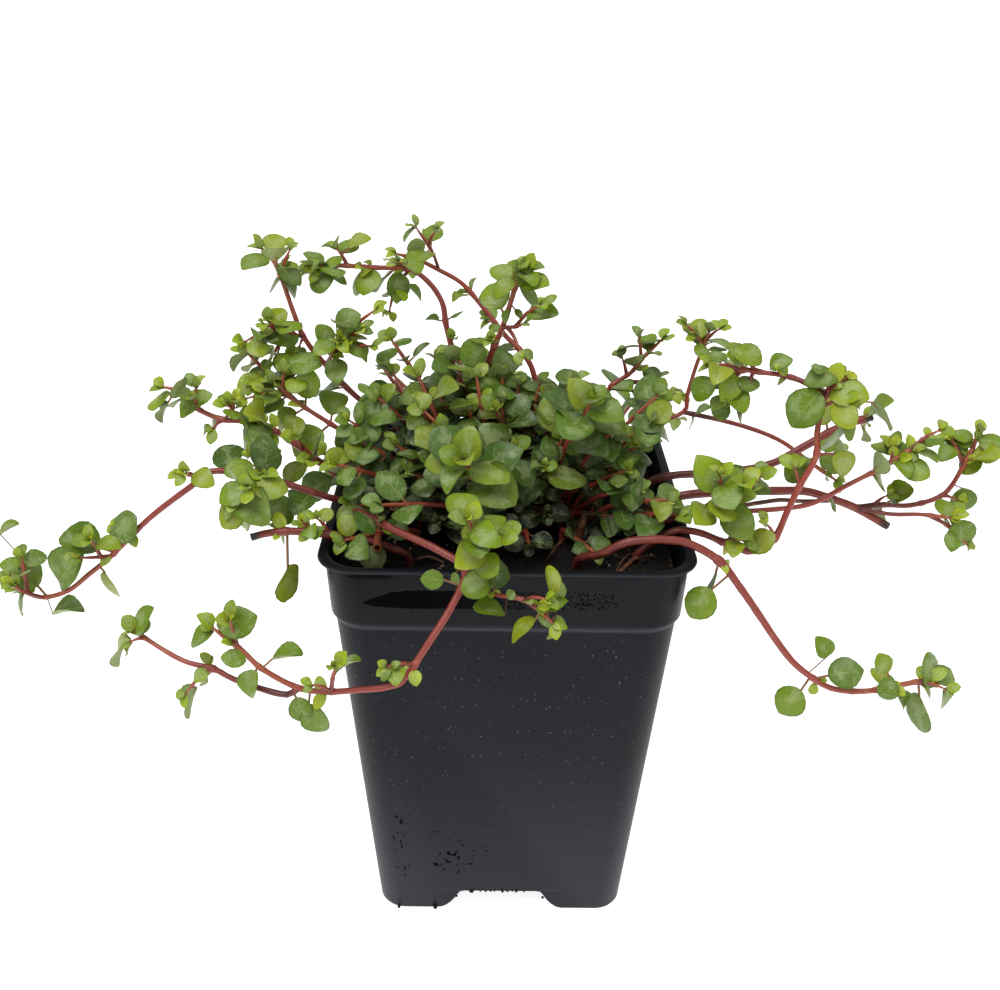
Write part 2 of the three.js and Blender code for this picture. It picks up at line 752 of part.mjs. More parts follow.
// Where a leaf lies: its root on the stem's middle line, its own axes and its sizes
function leafPlace(route, distance, turn, lean, roll, blade, stalk) {
  const { point, heading } = route.at(distance);
  const up = squareTo(UPWARDS, heading).normalize();
  const aside = new THREE.Vector3().crossVectors(heading, up);
  const outward = up.multiplyScalar(Math.cos(radians(turn))).addScaledVector(aside, Math.sin(radians(turn)));
  const along = heading.clone().multiplyScalar(Math.cos(radians(lean)));
  along.addScaledVector(outward, Math.sin(radians(lean))).normalize();
  const lit = squareTo(lightAt(point), along);
  const facing = lit.length() > 0.2 ? lit.normalize() : squareTo(heading, along).normalize();
  facing.applyAxisAngle(along, radians(roll));
  const across = new THREE.Vector3().crossVectors(facing, along);
  return { root: point, along, facing, across, blade, stalk };
}

function leafPoint(leaf, u, v, w) {
  return leaf.root.clone().addScaledVector(leaf.along, u).addScaledVector(leaf.across, v)
    .addScaledVector(leaf.facing, w);
}

// Marks spread over the blade, which keep other stems and leaves away
const MARKS = [[0.12, 0], [0.4, 0.3], [0.4, -0.3], [0.5, 0], [0.74, 0.26], [0.74, -0.26], [0.96, 0]];
function leafMarks(leaf) {
  const { blade, stalk } = leaf;
  const marks = MARKS.map(([u, v]) => leafPoint(leaf, stalk + u * blade, v * blade, 0));
  return marks;
}

// A leaf: a flat outline from its root on the stem to its tip, swollen to a ridge on both faces by a
// ring of triangles round a middle point. A long stalk is a rod of its own.
function leafSolid(leaf) {
  const { blade, stalk } = leaf;
  const half = (blade * BLADE_WIDTH) / 2;
  const long = stalk >= LONG_STALK;
  const outline = [
    [long ? stalk - 1 : 0, 0],
    [stalk + SHOULDER * blade, -half],
    [stalk + CHEEK * blade, -half * CHEEK_SHARE],
    [stalk + blade, 0],
    [stalk + CHEEK * blade, half * CHEEK_SHARE],
    [stalk + SHOULDER * blade, half],
  ];
  const lens = new THREE.CylinderGeometry(0, 1, 1, outline.length, 1);
  const place = (u, v, w) => leafPoint(leaf, u, v, w - DROOP * blade * Math.max(0, (u - stalk) / blade) ** 2);
  movePoints(lens, (p) => {
    const spoke = Math.round((Math.atan2(p.x, p.z) / (2 * Math.PI)) * outline.length + outline.length);
    const middle = Math.hypot(p.x, p.z) < 0.5;
    const [u, v] = middle ? [stalk + 0.5 * blade, 0] : outline[spoke % outline.length];
    const swell = middle ? Math.sign(p.y) * BLADE_THICK / 2 : 0;
    p.copy(place(u, v, swell));
  });
  const bladeBody = solid(lens);
  if (!long) return bladeBody;
  const rod = new THREE.CylinderGeometry(STALK_HALF, STALK_HALF, 1, 3, 1);
  movePoints(rod, (p) => p.copy(leafPoint(leaf, p.y > 0 ? stalk + 0.3 * blade : 0, p.x, p.z)));
  return bladeBody.add(solid(rod));
}

// Everything placed so far: points of stems and blades, the node they belong to and their reach
const stemMarks = [];
const leafMarksPlaced = [];

// Whether a point is clear of the soil, the collar and the lip
function clearOfPot(p, room) {
  const out = Math.max(Math.abs(p.x), Math.abs(p.y));
  if (out < MOUTH_HALF - room) return p.z > SOIL_TOP + SOIL_RELIEF + room;
  return p.z > POT_HEIGHT + room || out > LIP_HALF + room;
}

// Whether a stem's point is over the rim, or inside it
function clearOfRim(p) {
  const out = Math.max(Math.abs(p.x), Math.abs(p.y));
  return out < MOUTH_HALF - STEM_ROOM || p.z > POT_HEIGHT + STEM_ROOM || out > LIP_HALF + STEM_ROOM;
}

function leafFits(leaf, node, siblings) {
  const points = leafMarks(leaf);
  if (!points.every((p) => clearOfPot(p, POT_ROOM))) return false;
  const clear = (point, room) => points.every((p) => p.distanceToSquared(point) >= room * room);
  const clearOfStem = (mark) => mark.node === node || clear(mark.point, leaf.blade * ROOM_SHARE + STEM_ROOM);
  const clearOfLeaf = (mark) => {
    if (siblings.includes(mark.leaf)) return true;
    const reach = mark.leaf.blade + leaf.blade;
    return clear(mark.point, mark.node === node ? reach * OWN_SHARE : reach * ROOM_SHARE + ROOM_FIXED);
  };
  return stemMarks.every(clearOfStem) && leafMarksPlaced.every(clearOfLeaf);
}

// One leaf, turned or made smaller until it has room, or left out
function growLeaf(shoot, distance, turn, lean, blade, stalk, siblings) {
  const sized = blade * (1 + chance(SIZE_SPREAD));
  const turned = turn + chance(TURN_SPREAD);
  const leant = lean + chance(LEAN_SPREAD);
  const rolled = chance(ROLL_SPREAD);
  for (let k = 0; k < TRY_TURNS.length; k += 1) {
    const size = sized * TRY_SHRINK[k];
    const leaf = leafPlace(shoot.route, distance, turned + TRY_TURNS[k], leant, rolled, size, stalk);
    if (leafFits(leaf, shoot.node, siblings)) {
      leafMarks(leaf).forEach((point) => leafMarksPlaced.push({ point, node: shoot.node, leaf }));
      shoot.leaves.push(leaf);
      siblings.push(leaf);
      return;
    }
  }
}

function growPair(shoot, distance, turn, lean, blade, stalk, count) {
  const siblings = [];
  for (let k = 0; k < count; k += 1) growLeaf(shoot, distance, turn + 180 * k, lean, blade, stalk, siblings);
  return siblings;
}

// The young leaves at a tip: pairs that stand steeper and smaller towards the end
function growTip(shoot, [blade, pairs]) {
  const siblings = [];
  for (let k = 0; k < pairs; k += 1) {
    const share = pairs === 1 ? 1 : k / (pairs - 1);
    const size = blade * (1 - TIP_SHRINK * share);
    const back = (pairs - 1 - k) * TIP_GAP;
    const lean = LEAN + 8 - TIP_RISE * share;
    const distance = shoot.route.length - 0.4 - back;
    for (let side = 0; side < 2; side += 1) {
      growLeaf(shoot, distance, TIP_TURN + 90 * k + 180 * side, lean, size, 0.8, siblings);
    }
  }
}

// The routes of one node. The first shoot stands in the soil, the others fork from it
function layRoutes({ name, root, shoots }) {
  const [x, y] = root;
  return shoots.map((shoot, index) => {
    const foot = [[x, y, SOIL_TOP - ROOT_DEPTH], [x, y, SOIL_TOP - 3], [x, y, SOIL_TOP + 2]];
    const lead = index === 0 ? foot : [];
    const route = new Route([...lead, ...shoot.route], lead.length);
    return { ...shoot, node: name, root, rooted: index === 0, route, listed: shoot.leaves, leaves: [] };
  });
}

function markStem(shoots) {
  shoots.forEach(({ node, route }) => route.points.forEach((point) => stemMarks.push({ point, node })));
}

// A bush of the clump: three shoots from one foot in the soil to tips on a low dome. The bushes lie
// like seeds in a sunflower.
function clumpBush(index) {
  const share = Math.sqrt((index + 0.5) / CLUMP_BUSHES);
  const angle = radians(index * GOLDEN_TURN);
  const middle = [
    CLUMP_MIDDLE[0] + CLUMP_REACH[0] * share * Math.cos(angle),
    CLUMP_MIDDLE[1] + CLUMP_REACH[1] * share * Math.sin(angle),
  ];
  const fan = [0, 1, 2].map(() => ({ turn: chance(24), rise: chance(6), gap: chance(0.8), leafTurn: chance(90) }));
  const limit = (value) => Math.max(-ROOT_LIMIT, Math.min(ROOT_LIMIT, value));
  for (let attempt = 0; attempt < CLUMP_TRIES; attempt += 1) {
    const shift = new THREE.Vector2(attempt * 0.5, 0).rotateAround(new THREE.Vector2(), attempt * 2.4);
    const root = [limit(middle[0] * ROOT_PULL + 2 * shift.x), limit(middle[1] * ROOT_PULL + 2 * shift.y)];
    const foot = [root[0], root[1], SOIL_TOP + 5];
    const listed = fan.map(({ turn, rise }, k) => {
      const spread = radians(k * 120 + (index * 50) + turn);
      const x = middle[0] + shift.x + FAN_REACH * Math.cos(spread);
      const y = middle[1] + shift.y + FAN_REACH * Math.sin(spread);
      const away = ((x - CLUMP_MIDDLE[0]) / CLUMP_REACH[0]) ** 2 + ((y - CLUMP_MIDDLE[1]) / CLUMP_REACH[1]) ** 2;
      const tip = [x, y, CLUMP_TOP - CLUMP_FALL * away + rise];
      const part = (along, height) => [
        foot[0] + (tip[0] - foot[0]) * along,
        foot[1] + (tip[1] - foot[1]) * along,
        foot[2] + (tip[2] - foot[2]) * height,
      ];
      return { route: [foot, part(0.38, 0.6), tip], girth: CLUMP_GIRTH, leaves: [], tip: CLUMP_TIP };
    });
    const number = String(index + 1).padStart(2, "0");
    const shoots = layRoutes({ name: `clump_bush_${number}`, root, shoots: listed });
    const clear = shoots.every((shoot) =>
      shoot.route.points.every((p) => stemMarks.every((m) => m.point.distanceTo(p) > STEM_GAP) && clearOfRim(p)),
    );
    if (clear) return { shoots, fan };
  }
  return null;
}

function growClumpLeaves({ shoots, fan }) {
  shoots.forEach((shoot, k) => {
    growTip(shoot, shoot.tip);
    const { gap, leafTurn } = fan[k];
    let quarter = 0;
    const first = shoot.route.length * CLUMP_BARE;
    for (let distance = shoot.route.length - CLUMP_LEAF_GAP; distance > first; distance -= CLUMP_LEAF_GAP + gap) {
      growPair(shoot, distance, leafTurn + quarter * 90, LEAN, CLUMP_BLADE, 2, 2);
      quarter += 1;
    }
  });
}

const chance = dice(LEAF_SEED);
const shown = SPRAYS.map(layRoutes);
shown.forEach(markStem);
const clump = [];
for (let index = 0; index < CLUMP_BUSHES; index += 1) {
  const bush = clumpBush(index);
  if (bush) {
    markStem(bush.shoots);
    clump.push(bush);
  }
}

for (const shoots of shown) {
  for (const shoot of shoots) {
    if (shoot.tip) growTip(shoot, shoot.tip);
    for (const [place, turn, blade, stalk, count = 2] of shoot.listed) {
      growPair(shoot, shoot.route.distanceOf(place), turn, LEAN, blade, stalk, count);
    }
  }
}
clump.forEach(growClumpLeaves);

const object = new THREE.Group();

function addNode(name, body, color, roughness) {
  const mesh = new THREE.Mesh(geometryOf(body), new THREE.MeshStandardMaterial({ color, roughness, metalness: 0 }));
  mesh.name = name;
  object.add(mesh);
}

const plants = [...shown, ...clump.map((bush) => bush.shoots)];
addNode("pot", makePot(), "#2d2e32", 0.42);
addNode("soil", makeSoil(plants.map(([first]) => ({ at: first.root, girth: first.girth[0] }))), "#15110e", 0.95);
for (const shoots of plants) {
  const pieces = shoots.flatMap((shoot) => [
    stemSolid(shoot.route, shoot.girth, shoot.girth[0] > STEM_THICK ? STEM_SIDES : TWIG_SIDES),
    ...shoot.leaves.map(leafSolid),
  ]);
  const joined = pieces.reduce((whole, piece) => whole.add(piece));
  addNode(shoots[0].node, wholeBody(joined), "#5f8f3a", 0.5);
}

export default object;
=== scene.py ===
# Looks of the potted blue angel pilea: the moulded pot, the wet soil, the red stems and the round
# leaves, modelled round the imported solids. Metres, +Z up. The front of the plant faces -Y.

import math
from collections import namedtuple

import bmesh
import bpy
import numpy as np
from mathutils import Matrix, Vector, noise


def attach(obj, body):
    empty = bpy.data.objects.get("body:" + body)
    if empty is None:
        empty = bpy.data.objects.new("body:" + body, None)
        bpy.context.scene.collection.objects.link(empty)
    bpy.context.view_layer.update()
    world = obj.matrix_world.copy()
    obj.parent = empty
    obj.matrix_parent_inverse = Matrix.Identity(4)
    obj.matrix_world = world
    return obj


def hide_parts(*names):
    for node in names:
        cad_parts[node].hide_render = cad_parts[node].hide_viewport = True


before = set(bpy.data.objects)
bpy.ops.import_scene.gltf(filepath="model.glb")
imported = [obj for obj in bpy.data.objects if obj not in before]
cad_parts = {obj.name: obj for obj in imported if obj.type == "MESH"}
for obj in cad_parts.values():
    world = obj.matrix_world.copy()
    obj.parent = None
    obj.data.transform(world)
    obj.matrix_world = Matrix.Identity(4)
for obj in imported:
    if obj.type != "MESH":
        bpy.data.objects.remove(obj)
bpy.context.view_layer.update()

MM = 0.001

# Pot, in millimetres
POT_HEIGHT = 130
LIP_HALF = 51
LIP_THICK = 1.4
MOUTH_HALF = 48
COLLAR_TOP_HALF = 49.2
COLLAR_FOOT_HALF = 48.3
COLLAR_HEIGHT = 18.6
LEDGE_DROP = 1.2
BODY_TOP_HALF = 47.1
BODY_FOOT_HALF = 38.1
BODY_FOOT_CORNER = 7.6
COLLAR_FOOT = POT_HEIGHT - COLLAR_HEIGHT
LIP_FOOT = POT_HEIGHT - LIP_THICK
WALL = 1.2
EDGE_ROUND = 1
FLOOR_UNDERSIDE = 8.4
FLOOR_THICK = 1.4
FOOT_WIDTH = 2.4
NOTCH_TOP_HALF = 12
NOTCH_FOOT_HALF = 19
NOTCH_HEIGHT = 8
DRAIN_RADIUS = 3.5
DRAIN_OFFSET = 21
DRAIN_SIDES = 24
CORNER_STEPS = 10

# Soil, in millimetres
SOIL_TOP = 122
SOIL_RELIEF = 0.8
SOIL_FOOT = 10.2
SOIL_GRID = 120
SOIL_CORNER = 0.2
CRUMBS = 520
FOOT_CRUMBS = 7

# How stems and leaves are laid, by the same rule as the solids. Millimetres and degrees
SPAN_STEPS = 6
BLADE_WIDTH = 0.9
DROOP = 0.12
LEAN = 68
LIGHT_LEAN = 0.62
LIGHT_RISE = 0.78
LIGHT_MIDDLE = 40
LIGHT_SPAN = 60
LIGHT_BACK = -0.6
UPWARDS = np.array([0, -0.3, 0.95]) / math.hypot(0.3, 0.95)
LEAF_SEED = 7
ROOM_SHARE = 0.16
ROOM_FIXED = 0.7
OWN_SHARE = 0.11
TRY_TURNS = [0, 25, -25, 50, -50, 80, -80, 120]
TRY_SHRINK = [1, 1, 1, 0.9, 0.9, 0.8, 0.8, 0.75]
STEM_ROOM = 1.6
STEM_GAP = 3.2
POT_ROOM = 1.2
SIZE_SPREAD = 0.12
TURN_SPREAD = 14
LEAN_SPREAD = 9
ROLL_SPREAD = 18
TIP_GAP = 2.1
TIP_RISE = 42
TIP_SHRINK = 0.45
TIP_TURN = 90
TIP_END = 0.4
TIP_LEAN = 8
TIP_STALK = 0.8
CLUMP_BUSHES = 12
FAN_REACH = 13
CLUMP_BARE = 0.62
CLUMP_MIDDLE = [-11, 5]
CLUMP_REACH = [52, 46]
CLUMP_TOP = 164
CLUMP_FALL = 26
CLUMP_GIRTH = [1.2, 0.7]
CLUMP_TIP = [9, 1]
CLUMP_BLADE = 9.5
CLUMP_LEAF_GAP = 8
CLUMP_TRIES = 24
ROOT_PULL = 0.55
ROOT_LIMIT = 39
GOLDEN_TURN = 137.508
TRY_STEP = 0.5
TRY_TURN = 2.4
FOOT_RISES = [-9, -3, 2]
FAN_SPREADS = [24, 6, 0.8, 90]
CLUMP_FOOT = 5
CLUMP_BEND = [0.38, 0.38, 0.6]
LEAF_SPOTS = [(0.12, 0), (0.4, 0.3), (0.4, -0.3), (0.5, 0), (0.74, 0.26), (0.74, -0.26), (0.96, 0)]
SPOT_MIDDLE = 3
DICE_STEP = 48271
DICE_RANGE = 2147483647
MARKS_ROOM = 60000

# How old leaves look, from 0, young, to 1. A pair is the age at a tip and the age below it
TIP_AGE = 0.35
LEAST_AGE = 0.25
AGE_SPAN = 90
CLUMP_AGES = [0.6, 0.75]
TWIG_AGES = [0.45, 0.6]
FILL_AGES = [0.65, 0.9]
PLACED_AGE = 0.55
AXIL_AGE = 0.1

# What is finer here than in the solids
FINE_SEED = 23
BLADE_THICK = 0.5
BROAD_BLADE = 6.5
STALK_RADIUS = 0.36
STEM_SHARE = 0.79
RING_GAP = 1.8
LEAST_RING_GAP = 0.35
THICKEST_STEM = 1.9
CUT_REACH = 6
SWELL = 0.24
SWELL_REACH = 0.9
KNOT_RINGS = [-1.4 * SWELL_REACH, -0.5, 0.5, 1.4 * SWELL_REACH]
TAPER_REACH = 3
TAPER_END = 0.55
LOOSE_TILT = 0.28
PLACED_TILT = 0.05
YOUNG_SHARES = [0.6, 0.36]
YOUNG_LEANS = [26, 10]
AXIL_BLADE = 3.6
AXIL_SHARE = 0.34
TWIG_GIRTH = [0.8, 0.55]
TWIG_SIZE = 0.84
TWIG_RISE = 0.12
TWIG_ROOM = 0.42
BARE_REACH = 2.5
CLUMP_BARE_SHOOT = 0.5
FILL_SHOOTS = 26
FILL_FRONT = 2
FILL_BLADE = 8.5
SHADE_GAP = 3.5
SHADE_DEPTH = 12
STUB_RADIUS = 1.1
STUB_WALL = 0.35
STUB_HOLLOW = 2
PALE_BITS = 22
BITS_REACH = 42
CRUMB_SIZES = [0.45, 0.6]
BIT_SIZES = [0.35, 0.4]

# Colours as they look on screen, 0 to 255. The first value in a ramp is the place of the colour
LEAF_AGES = [(0, 158, 172, 30), (0.2, 132, 153, 24), (0.5, 98, 124, 16), (1, 54, 80, 16)]
LEAF_PALE = (156, 162, 34)
LEAF_DULL = (84, 106, 52)
# Painted shade for leaves inside the clump and, darker, deep below its dome
LEAF_INNER_SHADE = (60, 94, 44)
LEAF_SHADED = (16, 23, 8)
# Painted sheen, standing in for highlights on the leaves' gloss
LEAF_PAINTED_SHEEN = (164, 178, 124)
LEAF_RIB = (160, 168, 104)
LEAF_UNDER = (154, 166, 112)
LEAF_EDGE = (44, 50, 20)
LEAF_STALK = (138, 94, 58)
STEM_AGES = [(0, 62, 22, 17), (0.3, 116, 44, 34), (0.75, 144, 58, 45), (1, 150, 84, 50)]
STEM_THIN = (152, 92, 56)
STEM_CUT = (34, 24, 21)
STEM_OLD = [(0.35, 48, 28, 20), (0.7, 112, 74, 50)]
STEM_STREAK = (176, 112, 84)
POT_CLOUD = [(0.3, 14, 16, 21), (0.75, 21, 23, 29)]
# Painted light: the pot's paler lower part, as lit by the bright floor
POT_PAINTED_FLOOR_LIGHT = (37, 39, 47)
# Painted highlights on the pot's ledge, along its lip's front and beside the arches
POT_PAINTED_HIGHLIGHT = (72, 76, 83)
POT_COLLAR = (12, 13, 16)
POT_DUST = (140, 143, 150)
POT_STAIN = (5, 5, 7)
SOIL_CLODS = [(0.3, 5, 4, 4), (0.6, 15, 11, 9), (0.8, 36, 25, 17)]
SOIL_SPECK = (84, 60, 42)
SOIL_BIT = (104, 80, 60)
BIT_TONES = [(0.3, 92, 78, 64), (0.7, 166, 152, 134)]

# Marks on the pot: the scale of the dust's pattern, and the height of the smear in millimetres
DUST_SCALE = 1250
SMEAR_HEIGHT = 118.6

# Floor, in metres, and light, with each sun's direction, strength and softness in degrees
FLOOR_SIZE = 40
FLOOR_GLOW = 0.87
WORLD_LIGHT = 0.48
SUNS = [("key", (0.35, 0.3, -1), 2.3, 42), ("fill", (-0.6, 0.3, -0.7), 0.5, 70)]

# Camera, fitted to the outline of the pot: millimetres, radians and pixels
CAMERA_PLACE = (-5.54, -319.39, 282.84)
CAMERA_YAW = 0.0115
CAMERA_PITCH = 0.4521
CAMERA_ROLL = 0.0178
CAMERA_FOCUS = 1184.03
IMAGE_WIDTH = 1000
SENSOR_WIDTH = 36

Spray = namedtuple("Spray", "name root shoots")
Shoot = namedtuple("Shoot", "route girth leaves tip", defaults=[[], None])

